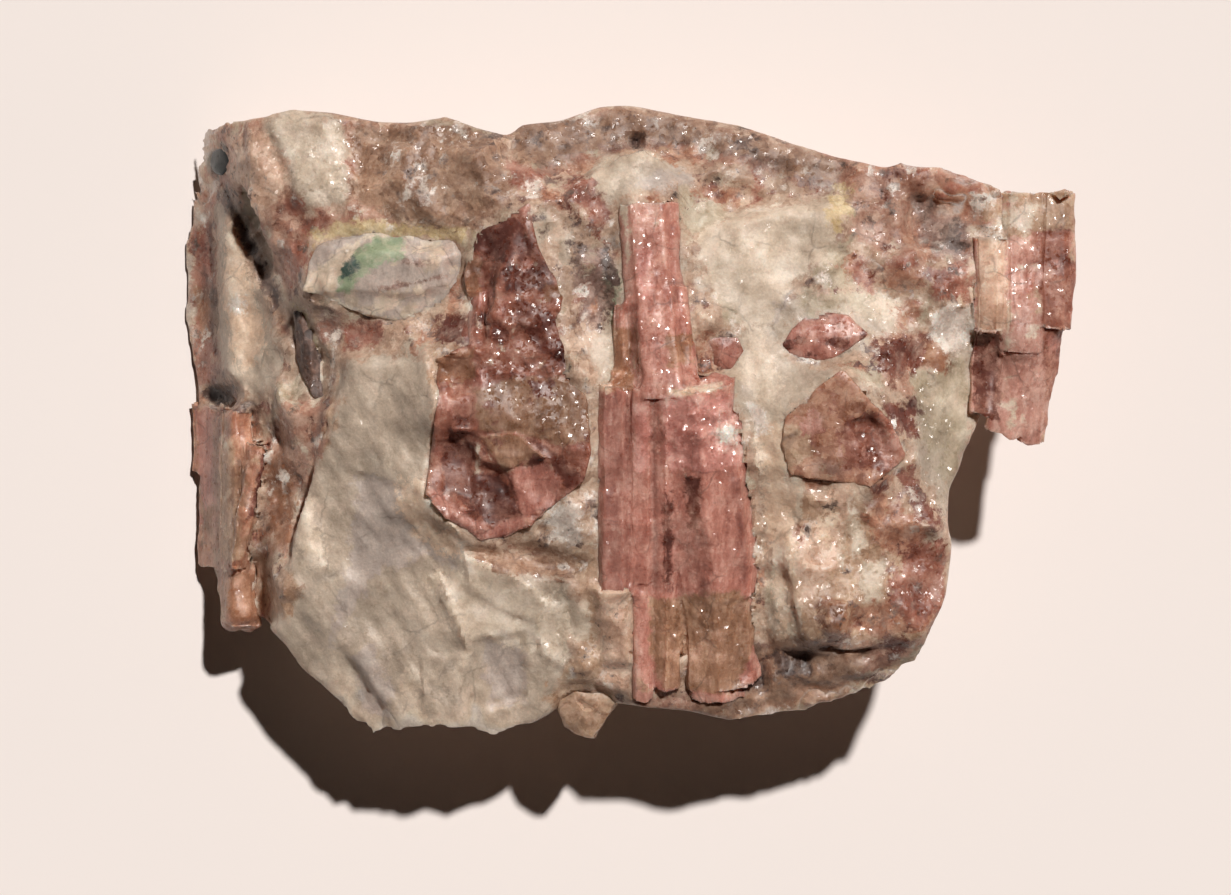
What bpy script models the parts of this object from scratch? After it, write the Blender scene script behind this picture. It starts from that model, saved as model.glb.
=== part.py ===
"""Darrellhenryite specimen: pink lithium tourmaline crystals in a feldspar and quartz rock.

The rock is one solid, with a seat under each crystal. The crystals are solids of their own.
Lengths are millimetres until a mesh is made. +X runs along the specimen, +Y across it, +Z up.
"""

import math
import random

import bmesh
import bpy
from mathutils import Vector, noise
from mathutils.geometry import delaunay_2d_cdt

# Driving dimensions, in millimetres.
MILLIMETRE = 0.001
SEAT_GAP = 0.3  # space between a crystal and the rock around it
SEAT_EDGE = 0.12  # width of a seat's wall as seen from above
ROCK_SPACING = 1.5  # distance between the rock's points where nothing happens
LEDGE_SPACING = 1.15  # distance between points along a ledge
LEDGE_WIDTH = 0.5  # width of a ledge as seen from above
ROCK_ROUGHNESS = 0.22  # height of the rock's small lumps
PLAIN_HEIGHT = 14.6  # the rock's top where no facet says otherwise
FLANK_LEVELS = (0.93, 0.82, 0.68, 0.54, 0.4, 0.27, 0.13, 0.0)  # rows, as shares of the rim's height
FLANK_LUMP = 6.0  # size of the lumps on the flanks
FLANK_ROUGHNESS = 3.4  # depth of the creases between them
FLANKS = (  # the broken faces below the rim: azimuth, distance at the foot, rise outwards
    (2.0, 20.5, 0.5),
    (34.0, 24.0, 0.5),
    (62.0, 17.5, 0.45),
    (93.0, 16.0, 0.5),
    (128.0, 27.0, 0.45),
    (146.0, 30.5, 0.5),
    (165.0, 28.6, 0.6),
    (196.0, 27.4, 0.7),
    (228.0, 25.5, 0.6),
    (263.0, 15.5, 0.55),
    (297.0, 16.8, 0.6),
    (331.0, 21.0, 0.45),
    (20.0, 18.5, 1.3),
    (78.0, 12.2, 1.2),
    (112.0, 17.5, 1.0),
    (150.0, 29.5, 0.9),
    (184.0, 28.2, 0.7),
    (214.0, 27.0, 1.1),
    (248.0, 17.0, 1.3),
    (284.0, 12.4, 1.1),
    (318.0, 15.8, 1.4),
    (350.0, 17.6, 1.2),
)

ROCK_OUTLINE = (
    (-29.2, 20.4), (-27.4, 20.9), (-25.4, 20.7), (-22.6, 21.2), (-19.6, 20.9), (-16.8, 20.3),
    (-14.5, 20.2), (-12.0, 20.7), (-9.8, 19.8), (-7.9, 19.3), (-7.1, 20.2), (-4.5, 20.3),
    (-1.8, 21.3), (0.2, 21.4), (2.7, 20.9), (4.9, 20.5), (7.5, 20.1), (10.2, 19.2),
    (12.9, 18.3), (17.2, 17.1), (18.4, 17.7), (21.2, 17.3), (24.2, 16.1), (25.0, 14.7),
    (25.2, 11.6), (24.8, 8.0), (24.9, 4.6), (24.2, 1.6), (23.2, -0.9), (22.2, -2.9),
    (21.5, -4.2), (21.4, -7.0), (21.7, -7.7), (21.3, -11.6), (20.2, -14.0), (19.4, -16.2),
    (18.4, -16.1), (17.7, -17.4), (16.6, -17.7), (14.9, -18.4), (12.2, -19.4), (9.5, -19.7),
    (6.9, -19.8), (4.2, -19.2), (0.9, -18.9), (-1.6, -18.6), (-3.4, -18.4), (-4.8, -19.2),
    (-6.5, -20.1), (-7.8, -20.6), (-8.8, -21.1), (-10.1, -20.7), (-12.4, -20.4), (-15.1, -20.7),
    (-17.1, -21.0), (-18.2, -20.3), (-20.3, -18.2), (-21.8, -16.7), (-23.0, -14.9), (-24.6, -13.3),
    (-26.7, -13.0), (-27.8, -11.0), (-28.7, -8.8), (-28.9, -5.1), (-29.0, -1.0), (-29.3, 1.6),
    (-29.3, 2.8), (-29.8, 4.7), (-30.4, 7.3), (-30.2, 10.2), (-30.5, 12.4), (-30.0, 14.3),
    (-29.9, 16.0), (-29.5, 18.4),
)


class Facet:
    """One face of the rock: an outline, the height of its middle, and its rise along X and Y."""

    def __init__(self, outline, height, rise=(0.0, 0.0), ledge=LEDGE_WIDTH):
        self.outline = [Vector(point) for point in outline]
        self.middle = sum(self.outline, Vector((0.0, 0.0))) / len(self.outline)
        self.height = height
        self.rise = Vector(rise)
        self.ledge = ledge

    def plane(self, point):
        return self.height + self.rise.dot(point - self.middle)


ROCK_FACETS = {
    "left_lean": Facet(
        ((-31.0, -23.0), (-31.0, 23.0), (-14.0, 23.0), (-14.0, -23.0)), 10.8, (0.42, 0.0), 1.0
    ),
    "left_fall": Facet(
        ((-31.0, -14.0), (-31.0, 21.6), (-26.4, 21.4), (-24.4, 8.0), (-24.6, -14.0)),
        5.4, (1.1, 0.0), 1.2,
    ),
    "left_strip": Facet(
        ((-31.2, 15.4), (-27.9, 15.4), (-27.4, 8.0), (-27.5, 1.6), (-31.2, 1.6)), 2.9, (1.2, 0.0),
        1.0,
    ),
    "left_patch": Facet(
        ((-28.2, 15.2), (-27.3, 15.0), (-26.5, 12.8), (-25.3, 10.2), (-24.3, 7.5), (-23.1, 4.2),
         (-23.7, 2.6), (-25.3, 2.0), (-27.4, 3.8), (-28.0, 7.0), (-28.0, 11.0)),
        6.7, (0.32, 0.03), 0.9,
    ),
    "crust": Facet(
        ((-29.2, 20.8), (-19.0, 21.8), (-8.4, 20.5), (-8.0, 14.2), (-11.5, 13.1), (-16.4, 13.4),
         (-21.0, 12.6), (-22.6, 9.2), (-23.2, 7.6), (-25.4, 12.2), (-27.2, 16.4), (-28.9, 18.0)),
        13.0, (0.33, -0.06),
    ),
    "crust_corner": Facet(
        ((-30.6, 21.8), (-26.6, 21.6), (-25.6, 17.4), (-26.2, 15.0), (-27.6, 15.4), (-31.0, 15.2)),
        5.2, (1.8, 0.0), 1.4,
    ),
    "crust_rim": Facet(
        ((-19.0, 21.8), (-8.4, 20.8), (-8.6, 18.6), (-12.0, 18.4), (-15.6, 18.9), (-19.0, 19.2)),
        13.8, (0.2, -0.3),
    ),
    "crust_white": Facet(
        ((-24.4, 20.9), (-19.2, 20.4), (-18.4, 17.0), (-18.8, 14.7), (-22.0, 14.6), (-22.6, 16.8)),
        13.1, (0.24, -0.08),
    ),
    "crust_tan": Facet(
        ((-16.0, 18.2), (-13.8, 18.2), (-13.6, 14.2), (-16.2, 13.9)), 14.9, (0.2, 0.0)
    ),
    "groove": Facet(
        ((-27.3, 16.4), (-26.2, 15.6), (-24.6, 12.4), (-22.9, 8.6), (-22.5, 6.8), (-23.0, 6.2),
         (-24.0, 8.2), (-25.2, 11.0), (-26.7, 14.4)),
        6.9, (0.3, 0.0), 0.8,
    ),
    "blade_bed": Facet(
        ((-23.2, 8.2), (-20.0, 8.0), (-19.6, 4.0), (-20.2, 1.6), (-22.8, 1.8)), 8.9, (0.4, 0.0)
    ),
    "grey_triangle": Facet(
        ((-21.0, 8.0), (-18.6, 7.4), (-18.6, 5.2), (-19.6, 4.6)), 11.6, (0.3, 0.0)
    ),
    "wine_patch": Facet(
        ((-19.0, 7.2), (-16.8, 7.6), (-12.8, 7.2), (-10.2, 7.6), (-10.0, 4.9), (-13.0, 4.6),
         (-19.2, 4.4)),
        13.8, (0.2, 0.1),
    ),
    "feldspar_block": Facet(
        ((-19.2, 4.6), (-15.4, 4.9), (-12.8, 4.4), (-12.6, 1.4), (-13.4, -3.2), (-13.3, -5.0),
         (-11.6, -6.8), (-10.8, -9.6), (-11.2, -14.0), (-9.8, -17.0), (-10.0, -21.5),
         (-17.6, -21.6), (-24.8, -13.8), (-22.9, -10.2), (-22.6, -7.4), (-21.2, -3.2),
         (-20.2, 0.2), (-19.6, 2.2)),
        13.2, (0.24, 0.13),
    ),
    "feldspar_flank": Facet(
        ((-24.6, -13.0), (-22.9, -10.2), (-21.0, -12.4), (-18.0, -16.4), (-15.6, -20.0),
         (-17.4, -21.8), (-22.2, -17.6)),
        10.2, (0.28, 0.22),
    ),
    "lower_rough": Facet(
        ((-11.0, -9.2), (-4.0, -9.0), (-1.4, -10.4), (-0.4, -14.0), (-0.6, -19.2), (-6.0, -20.4),
         (-8.8, -21.6), (-10.4, -21.2), (-11.2, -16.2), (-12.6, -11.4)),
        13.2, (0.04, 0.34),
    ),
    "lower_ridge": Facet(
        ((-3.6, -10.2), (0.4, -8.6), (0.5, -13.0), (0.1, -18.0), (-2.4, -18.2), (-3.8, -15.0)),
        14.2, (0.05, 0.26),
    ),
    "hollow": Facet(
        ((-11.0, -8.2), (-7.0, -7.6), (-4.4, -8.0), (-2.6, -9.0), (-3.4, -10.0), (-8.4, -9.0)),
        12.9,
    ),
    "brown_nub": Facet(
        ((-23.2, 1.8), (-20.4, 2.0), (-20.6, -1.8), (-22.2, -2.6), (-23.8, -0.6)), 11.0, (0.3, 0.0)
    ),
    "brown_column": Facet(
        ((-24.2, -1.2), (-22.4, -1.4), (-21.2, -3.4), (-22.4, -6.8), (-22.8, -9.4), (-24.4, -9.2)),
        9.6, (0.35, 0.1),
    ),
    "wedge": Facet(
        ((-4.4, 16.6), (-2.4, 16.4), (-1.0, 14.0), (-1.8, 12.7), (-3.8, 14.7)), 16.9
    ),
    "vug_rim": Facet(
        ((-4.4, 13.0), (-1.2, 13.6), (-0.6, 10.0), (-0.8, 4.4), (-3.8, 4.0), (-5.6, 8.0)), 16.2
    ),
    "vug": Facet(
        ((-2.9, 11.9), (-1.0, 12.0), (-0.7, 9.4), (-1.0, 6.7), (-2.6, 6.4), (-3.2, 9.0)), 13.4
    ),
    "cream_top": Facet(
        ((-2.9, 16.4), (-1.5, 17.8), (0.9, 18.3), (3.6, 17.3), (4.2, 16.3), (0.9, 15.4),
         (-0.5, 14.9), (-1.8, 15.0)),
        16.7, (0.0, -0.08),
    ),
    "grey_lens": Facet(
        ((3.6, 15.6), (6.4, 15.8), (6.4, 13.8), (5.0, 12.8), (4.0, 13.2)), 15.8
    ),
    "cream_patch": Facet(
        ((4.3, 12.0), (5.2, 13.3), (6.9, 14.0), (10.9, 14.8), (15.0, 14.7), (14.4, 13.3),
         (12.5, 10.7), (10.3, 8.4), (9.5, 6.7), (7.8, 6.4), (6.2, 8.3), (4.9, 10.3)),
        16.8, (-0.08, 0.02), 1.2,
    ),
    "grey_lattice": Facet(
        ((7.8, 10.2), (10.6, 10.4), (10.6, 8.2), (9.2, 6.8), (7.8, 7.2)), 16.5
    ),
    "white_band": Facet(
        ((7.2, 6.2), (9.6, 6.4), (10.2, 2.0), (11.0, -3.2), (11.4, -9.0), (12.6, -14.4),
         (9.0, -14.8), (9.0, -9.0), (8.4, -3.0), (6.8, 2.0)),
        15.9, (0.0, 0.08),
    ),
    "top_ridge": Facet(
        ((-8.4, 20.4), (-7.2, 21.0), (-1.8, 22.0), (3.0, 21.6), (8.0, 20.6), (13.0, 18.8),
         (18.0, 17.8), (18.2, 16.7), (15.6, 15.0), (10.8, 15.2), (4.4, 16.6), (0.9, 18.6),
         (-2.9, 16.6), (-5.8, 15.0), (-8.4, 14.6)),
        14.4, (-0.02, -0.38),
    ),
    "right_mass": Facet(
        ((15.0, 17.5), (18.4, 18.2), (24.4, 16.6), (25.6, 14.6), (25.4, 7.0), (20.2, 5.2),
         (18.2, 5.8), (16.0, 6.4), (13.6, 8.4), (12.6, 10.6), (15.0, 14.6)),
        15.7, (-0.04, -0.04), 1.0,
    ),
    "purple_pocket": Facet(
        ((19.0, 15.2), (22.2, 15.2), (22.8, 12.0), (20.4, 11.0), (18.6, 12.8)), 14.3
    ),
    "red_knob": Facet(
        ((20.6, 16.8), (23.4, 16.6), (23.4, 14.8), (21.0, 15.0)), 16.2
    ),
    "pink_knob": Facet(
        ((16.4, 11.6), (20.2, 11.6), (20.4, 9.6), (17.6, 8.8), (16.0, 9.8)), 16.1
    ),
    "red_shelf": Facet(
        ((16.4, 5.8), (19.8, 6.2), (20.0, 2.6), (17.6, 2.0), (16.4, 3.4)), 16.8, (-0.1, 0.1)
    ),
    "maroon_face": Facet(
        ((16.6, 2.2), (19.4, 1.8), (19.4, -1.2), (17.8, -1.6), (16.6, 0.6)), 16.5, (-0.2, 0.0)
    ),
    "silver_slab": Facet(
        ((18.6, 4.6), (21.4, 7.4), (22.9, 7.6), (23.2, 0.6), (22.2, -3.2), (21.8, -7.4),
         (20.4, -6.4), (18.8, -1.0)),
        14.4, (-0.4, 0.0),
    ),
    "granular": Facet(
        ((9.8, -4.0), (16.0, -4.6), (18.4, -2.2), (20.6, -5.4), (21.8, -7.6), (21.8, -11.8),
         (20.0, -14.4), (14.8, -15.2), (11.6, -14.8), (10.4, -9.0)),
        16.2, (-0.08, 0.06),
    ),
    "maroon_facet": Facet(
        ((18.6, -2.4), (20.8, -3.2), (21.3, -6.6), (19.2, -6.0)), 15.4, (-0.35, 0.1)
    ),
    "granular_edge": Facet(
        ((19.6, -7.2), (22.0, -7.6), (22.0, -12.0), (20.0, -14.4), (18.8, -12.0)), 15.0, (-0.3, 0.0)
    ),
    "orange_knob": Facet(
        ((12.9, -11.6), (14.8, -11.7), (14.6, -14.0), (13.0, -14.2)), 17.1
    ),
    "lower_shelf": Facet(
        ((7.2, -15.2), (11.4, -14.9), (14.8, -15.3), (19.8, -14.5), (21.0, -15.6), (19.0, -18.0),
         (12.0, -20.4), (6.0, -20.6), (0.6, -19.4), (0.8, -18.2), (6.8, -18.4)),
        13.0, (0.0, 0.5), 1.3,
    ),
    "shelf_lump": Facet(
        ((10.4, -15.6), (13.6, -15.8), (16.8, -15.6), (16.4, -16.8), (12.0, -17.4)), 14.3, (0.0, 0.5)
    ),
}

LEFT_CRYSTAL = (
    (-6.4, 14.8), (-8.6, 13.4), (-10.0, 12.9), (-10.5, 11.3), (-10.8, 10.2), (-10.4, 5.3),
    (-12.8, 4.4), (-12.6, 2.0), (-12.9, -1.0), (-13.4, -4.6), (-12.5, -5.7), (-9.8, -7.7),
    (-8.1, -7.5), (-6.5, -6.7), (-4.7, -5.3), (-2.9, -3.7), (-2.5, -2.0), (-2.8, 1.9),
    (-3.9, 3.2), (-4.6, 6.9), (-4.2, 8.3), (-4.6, 9.6), (-5.9, 11.7), (-6.2, 13.5),
)
LEFT_CRYSTAL_FACETS = (
    Facet(((-6.2, 15.0), (-10.2, 13.2), (-11.0, 10.0), (-10.6, 5.2), (-9.4, 5.2), (-8.8, 9.6),
           (-7.4, 12.4)), 16.6, (0.45, 0.0)),
    Facet(((-7.2, 14.2), (-8.8, 9.6), (-9.2, 5.4), (-4.2, 4.0), (-4.0, 9.6), (-5.8, 12.0)),
          17.7, (-0.12, 0.02)),
    Facet(((-8.8, 6.4), (-4.6, 6.4), (-4.0, 3.2), (-9.0, 4.0)), 17.2, (0.05, 0.1)),
    Facet(((-13.0, 4.6), (-10.2, 4.6), (-10.2, 2.4), (-12.9, 2.2)), 16.4, (0.2, 0.0)),
    Facet(((-12.9, 1.2), (-10.6, 2.2), (-6.0, 3.6), (-2.4, 2.2), (-2.4, -2.2), (-6.0, -0.6),
           (-12.8, -0.6)), 17.7, (-0.02, -0.1)),
    Facet(((-13.6, -0.8), (-10.4, -0.8), (-10.2, -5.0), (-11.8, -5.6), (-13.6, -4.4)),
          16.2, (-0.1, -0.05)),
    Facet(((-10.2, -2.4), (-7.8, -3.2), (-7.6, -6.4), (-9.8, -6.6)), 16.3, (0.2, 0.0)),
    Facet(((-9.9, -0.8), (-7.8, -0.1), (-5.4, -1.4), (-4.8, -2.4), (-6.6, -3.2), (-8.0, -3.1)),
          17.9, (0.1, -0.1)),
    Facet(((-7.6, -2.4), (-4.8, -2.4), (-2.4, -2.8), (-4.6, -5.6), (-7.4, -6.4)),
          17.2, (0.1, 0.25)),
    Facet(((-12.4, -5.6), (-8.6, -6.2), (-6.2, -6.4), (-8.2, -8.0), (-10.2, -8.2)),
          16.4, (0.0, 0.2)),
)

BLOCK_CRYSTAL = (
    (14.2, 3.7), (12.2, 2.1), (10.4, 0.6), (10.2, -1.3), (10.8, -3.3), (13.4, -3.7),
    (16.2, -4.2), (18.4, -2.1), (17.4, 0.2), (16.0, 1.8),
)
BLOCK_CRYSTAL_FACETS = (
    Facet(((14.3, 4.0), (10.2, 0.8), (10.0, -1.4), (16.0, -0.6), (17.6, 0.4)), 18.7, (0.06, 0.1)),
    Facet(((10.0, -0.8), (16.0, -0.7), (18.8, -2.0), (16.2, -4.4), (10.4, -3.6)),
          18.1, (0.02, 0.2)),
    Facet(((16.2, 1.6), (15.4, -0.6), (16.4, -4.2), (18.8, -2.2)), 17.5, (-0.3, 0.0)),
)

PINK_CRYSTAL = (
    (10.2, 5.3), (10.9, 6.3), (11.8, 7.3), (13.2, 7.6), (14.6, 7.2), (15.9, 6.0), (14.8, 5.1),
    (13.6, 4.4), (12.2, 4.1), (10.9, 4.6),
)
PINK_CRYSTAL_FACETS = (
    Facet(((10.0, 5.4), (11.8, 7.6), (13.2, 7.8), (16.2, 6.0), (13.0, 6.0)), 17.1, (0.0, -0.35)),
    Facet(((10.0, 5.2), (13.0, 5.9), (16.2, 5.9), (13.6, 4.1), (12.2, 3.9)), 17.2, (0.0, 0.25)),
)

HEART_CRYSTAL = ((5.3, 5.9), (7.4, 5.8), (7.8, 4.9), (6.8, 3.5), (6.0, 3.6), (5.35, 4.6))
HEART_CRYSTAL_FACETS = (
    Facet(((4.8, 6.0), (7.6, 5.8), (7.8, 4.6), (4.8, 4.6)), 17.1, (0.05, 0.1)),
    Facet(((4.8, 4.6), (7.8, 4.6), (6.5, 3.0), (5.5, 3.3)), 16.7, (0.0, 0.3)),
)

LENS_GRAIN = (
    (-21.6, 9.0), (-21.2, 10.9), (-20.6, 11.9), (-19.0, 12.4), (-17.0, 12.9), (-15.1, 12.6),
    (-11.6, 12.7), (-10.9, 11.2), (-11.2, 9.4), (-12.4, 7.9), (-15.2, 6.9), (-18.8, 7.7),
)
LENS_GRAIN_FACETS = (
    Facet(((-21.8, 8.8), (-21.4, 11.2), (-20.4, 12.2), (-17.0, 13.2), (-10.6, 13.0), (-10.6, 11.6),
           (-17.0, 11.8), (-19.8, 10.6)), 14.2, (0.16, -0.3)),
    Facet(((-20.2, 10.4), (-17.0, 11.8), (-11.0, 11.4), (-11.4, 9.4), (-14.0, 8.6),
           (-19.0, 8.8)), 15.1, (0.16, 0.06)),
    Facet(((-21.8, 8.8), (-19.0, 8.8), (-14.0, 8.6), (-11.4, 9.4), (-12.2, 7.6), (-15.2, 6.6),
           (-19.0, 7.4)), 14.4, (0.16, 0.45)),
)

TIP_CRYSTAL = (
    (-4.5, -18.4), (-3.4, -17.7), (-1.7, -17.8), (-0.7, -18.6), (-1.5, -20.2), (-2.2, -21.1),
    (-3.4, -20.8), (-4.2, -20.2), (-4.6, -19.3),
)
TIP_CRYSTAL_FACETS = (
    Facet(((-4.8, -18.2), (-3.0, -17.4), (-2.7, -18.6), (-2.3, -21.4), (-4.6, -20.6)),
          11.7, (0.45, 0.4)),
    Facet(((-3.0, -17.4), (-0.4, -18.2), (-1.4, -20.6), (-2.2, -21.4), (-2.7, -18.6)),
          11.8, (-0.35, 0.4)),
)

MICA_BLADES = ((-22.3, 7.6), (-21.7, 7.6), (-20.3, 4.6), (-20.2, 1.9), (-21.0, 1.7), (-22.2, 4.4))
MICA_BLADE_FACETS = (
    Facet(((-22.6, 7.8), (-22.1, 7.8), (-21.3, 1.4), (-22.6, 4.2)), 10.4, (0.0, 0.1)),
    Facet(((-22.05, 7.8), (-21.8, 7.8), (-20.8, 1.4), (-21.25, 1.4)), 11.4, (0.0, 0.12)),
    Facet(((-21.8, 7.8), (-21.2, 7.4), (-19.9, 4.6), (-20.0, 1.6), (-20.8, 1.4)),
          11.0, (-0.25, 0.0)),
)

GLASSY_GRAIN = (
    (-28.3, 18.0), (-28.1, 18.6), (-27.5, 18.8), (-26.9, 18.5), (-26.7, 17.8), (-26.9, 17.2),
    (-27.5, 17.0), (-28.1, 17.3),
)
GLASSY_GRAIN_FACETS = (
    Facet(((-29.0, 18.0), (-28.0, 19.2), (-27.4, 17.9), (-28.4, 16.8)), 6.3, (0.5, 0.0)),
    Facet(((-28.0, 19.2), (-26.4, 18.8), (-26.4, 17.6), (-27.5, 17.9)), 6.9, (0.1, -0.3)),
    Facet(((-28.6, 16.9), (-27.4, 17.9), (-26.2, 17.6), (-27.2, 16.5)), 6.8, (0.1, 0.3)),
)

# Each lying crystal: outline, faces, height of its underside, and the colour of its mineral.
LYING_CRYSTALS = {
    "left_crystal": (LEFT_CRYSTAL, LEFT_CRYSTAL_FACETS, 13.0, (0.33, 0.11, 0.08)),
    "block_crystal": (BLOCK_CRYSTAL, BLOCK_CRYSTAL_FACETS, 13.8, (0.45, 0.21, 0.16)),
    "pink_crystal": (PINK_CRYSTAL, PINK_CRYSTAL_FACETS, 13.8, (0.45, 0.16, 0.15)),
    "heart_crystal": (HEART_CRYSTAL, HEART_CRYSTAL_FACETS, 13.8, (0.44, 0.12, 0.12)),
    "lens_grain": (LENS_GRAIN, LENS_GRAIN_FACETS, 11.4, (0.62, 0.6, 0.56)),
    "tip_crystal": (TIP_CRYSTAL, TIP_CRYSTAL_FACETS, 8.4, (0.42, 0.34, 0.26)),
    "mica_blades": (MICA_BLADES, MICA_BLADE_FACETS, 8.0, (0.12, 0.11, 0.11)),
    "glassy_grain": (GLASSY_GRAIN, GLASSY_GRAIN_FACETS, 4.4, (0.02, 0.07, 0.08)),
}


class Prism:
    """One tourmaline prism: two ends of its axis, its width, its thickness and its steps.

    A step is (share of the length, change of size, shift across), and runs round the prism.
    """

    def __init__(self, start, end, width, depth, steps=(), sides=7, roll=0.0):
        self.start = Vector(start)
        self.end = Vector(end)
        self.width = width
        self.depth = depth
        self.steps = steps
        self.sides = sides
        self.roll = roll


CENTRAL_PRISMS = (
    Prism((1.35, 14.75, 16.1), (2.35, 1.6, 16.6), 4.0, 4.6,
          ((0.13, 1.03, 0.0), (0.43, 1.08, 0.15), (0.55, 1.13, 0.1), (0.72, 1.19, 0.1)), 6, 4.0),
    Prism((0.2, 8.0, 15.4), (0.0, 1.0, 15.6), 2.5, 3.0, ((0.6, 1.1, 0.0),), 6, 20.0),
    Prism((-0.7, 2.8, 16.4), (-0.7, -11.0, 14.2), 2.5, 3.8, ((0.5, 1.04, 0.0),), 6, 8.0),
    Prism((0.95, 2.9, 17.0), (1.0, -18.2, 11.8), 1.9, 4.2,
          ((0.42, 1.06, 0.05), (0.62, 0.92, 0.0)), 6, 4.0),
    Prism((2.6, 2.9, 17.0), (2.6, -17.4, 11.9), 2.2, 4.4, ((0.4, 0.95, 0.0),), 6, 30.0),
    Prism((4.6, 2.9, 17.0), (6.3, -17.2, 11.6), 5.4, 5.4,
          ((0.12, 1.06, 0.1), (0.3, 1.08, 0.2), (0.5, 1.05, 0.25), (0.7, 0.98, 0.1)), 7, -10.0),
    Prism((5.0, 2.4, 16.8), (5.9, -18.0, 11.2), 4.0, 4.6, ((0.25, 1.08, 0.1),), 7, 30.0),
)
CENTRAL_SEATS = (
    (((-0.9, 15.2), (3.6, 15.2), (4.4, 9.0), (4.8, 3.6), (5.0, 1.9), (-1.4, 1.9), (-1.25, 3.4),
      (-1.25, 8.4), (-0.8, 8.6)), 13.2, 0.0),
    (((-2.15, 3.2), (7.4, 3.2), (8.5, -3.0), (9.1, -9.0), (9.1, -15.0), (8.9, -19.0), (-0.5, -19.0),
      (-1.0, -11.6), (-2.15, -11.4)), 12.3, 0.27),
)
CENTRAL_COLOUR = (0.48, 0.18, 0.15)

END_PRISMS = (
    Prism((28.7, 15.5, 14.2), (28.4, 6.4, 14.0), 2.5, 3.2, ((0.35, 1.05, 0.0),), 6, 10.0),
    Prism((28.2, 7.4, 13.6), (27.0, -1.2, 12.0), 2.1, 2.8, ((0.45, 0.9, 0.0),), 6, 0.0),
    Prism((26.2, 15.6, 14.2), (26.1, 4.8, 14.2), 2.9, 3.4, ((0.3, 0.94, 0.0), (0.6, 1.03, 0.0)), 7, 18.0),
    Prism((26.3, 5.6, 13.8), (25.3, -0.5, 12.6), 2.9, 3.2, ((0.5, 0.92, 0.0),), 6, 12.0),
    Prism((24.0, 12.6, 14.6), (23.9, 6.2, 14.4), 2.1, 3.0, ((0.5, 1.06, 0.0),), 6, 5.0),
    Prism((24.2, 7.2, 13.2), (24.0, 0.8, 12.8), 2.5, 2.8, ((0.5, 0.94, 0.0),), 6, 15.0),
)
END_SEATS = (
    (((22.7, 13.2), (24.5, 13.3), (24.5, 16.6), (31.0, 16.6), (31.0, -3.0), (22.5, -3.0),
      (22.6, 7.4)), 10.2, 0.0),
)
END_COLOUR = (0.5, 0.27, 0.2)

EDGE_PRISMS = (
    Prism((-29.1, 1.6, 2.8), (-29.1, -3.2, 2.7), 1.6, 2.8, (), 6, 0.0),
    Prism((-27.9, 1.3, 3.4), (-28.1, -9.7, 3.1), 2.6, 4.2, ((0.55, 1.05, 0.0),), 6, 10.0),
    Prism((-26.5, 1.2, 5.4), (-26.7, -9.8, 5.0), 2.7, 4.2, ((0.4, 0.95, 0.0),), 6, 20.0),
    Prism((-24.8, -1.2, 6.9), (-26.2, -9.6, 6.3), 1.6, 4.0, (), 6, 4.0),
    Prism((-26.6, -8.6, 4.6), (-26.3, -13.8, 5.2), 3.0, 4.6, ((0.5, 0.92, 0.05),), 7, 14.0),
)
EDGE_SEATS = (
    (((-31.0, 2.3), (-24.9, 2.1), (-23.8, -0.8), (-24.0, -7.0), (-24.4, -9.0), (-24.4, -14.4),
      (-31.0, -14.6)), 1.0, 0.0),
)
EDGE_COLOUR = (0.45, 0.24, 0.17)

# Each bundle of prisms: its prisms, its seats and its colour.
# A seat is its outline, the height of its floor at Y = 0, and the floor's rise along Y.
BUNDLES = {
    "central_crystal": (CENTRAL_PRISMS, CENTRAL_SEATS, CENTRAL_COLOUR),
    "end_crystals": (END_PRISMS, END_SEATS, END_COLOUR),
    "edge_crystals": (EDGE_PRISMS, EDGE_SEATS, EDGE_COLOUR),
}


def distance_to(outline, point):
    """Distance from a point to an outline, above 0 inside it and below 0 outside."""
    nearest = math.inf
    inside = False
    before = outline[-1]
    for after in outline:
        side = after - before
        share = max(0.0, min(1.0, (point - before).dot(side) / side.length_squared))
        nearest = min(nearest, (before + side * share - point).length)
        if (before.y > point.y) != (after.y > point.y):
            crossing = before.x + side.x * (point.y - before.y) / side.y
            inside = inside != (point.x < crossing)
        before = after
    return nearest if inside else -nearest


def grown(outline, distance):
    """The outline moved outwards by this distance, corner by corner."""
    turning = sum(a.cross(b) for a, b in zip(outline, outline[1:] + outline[:1]))
    outwards = 1.0 if turning > 0.0 else -1.0
    moved = []
    for before, here, after in zip(outline[-1:] + outline[:-1], outline, outline[1:] + outline[:1]):
        first = (here - before).normalized()
        second = (after - here).normalized()
        normal = Vector((first.y + second.y, -first.x - second.x)).normalized() * outwards
        spread = max(0.5, abs(normal.dot(Vector((first.y, -first.x)))))
        moved.append(here + normal * (distance / spread))
    return moved


def spaced(outline, spacing):
    """The closed outline as points that lie about this far apart."""
    points = []
    for start, end in zip(outline, outline[1:] + outline[:1]):
        pieces = max(1, round((end - start).length / spacing))
        points += [start.lerp(end, piece / pieces) for piece in range(pieces)]
    return points


def facet_height(facets, point, height):
    """The height at a point once every facet over it has been laid on, first to last."""
    for facet in facets:
        share = distance_to(facet.outline, point) / facet.ledge + 0.5
        share = max(0.0, min(1.0, share))
        height += (facet.plane(point) - height) * share
    return height


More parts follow.
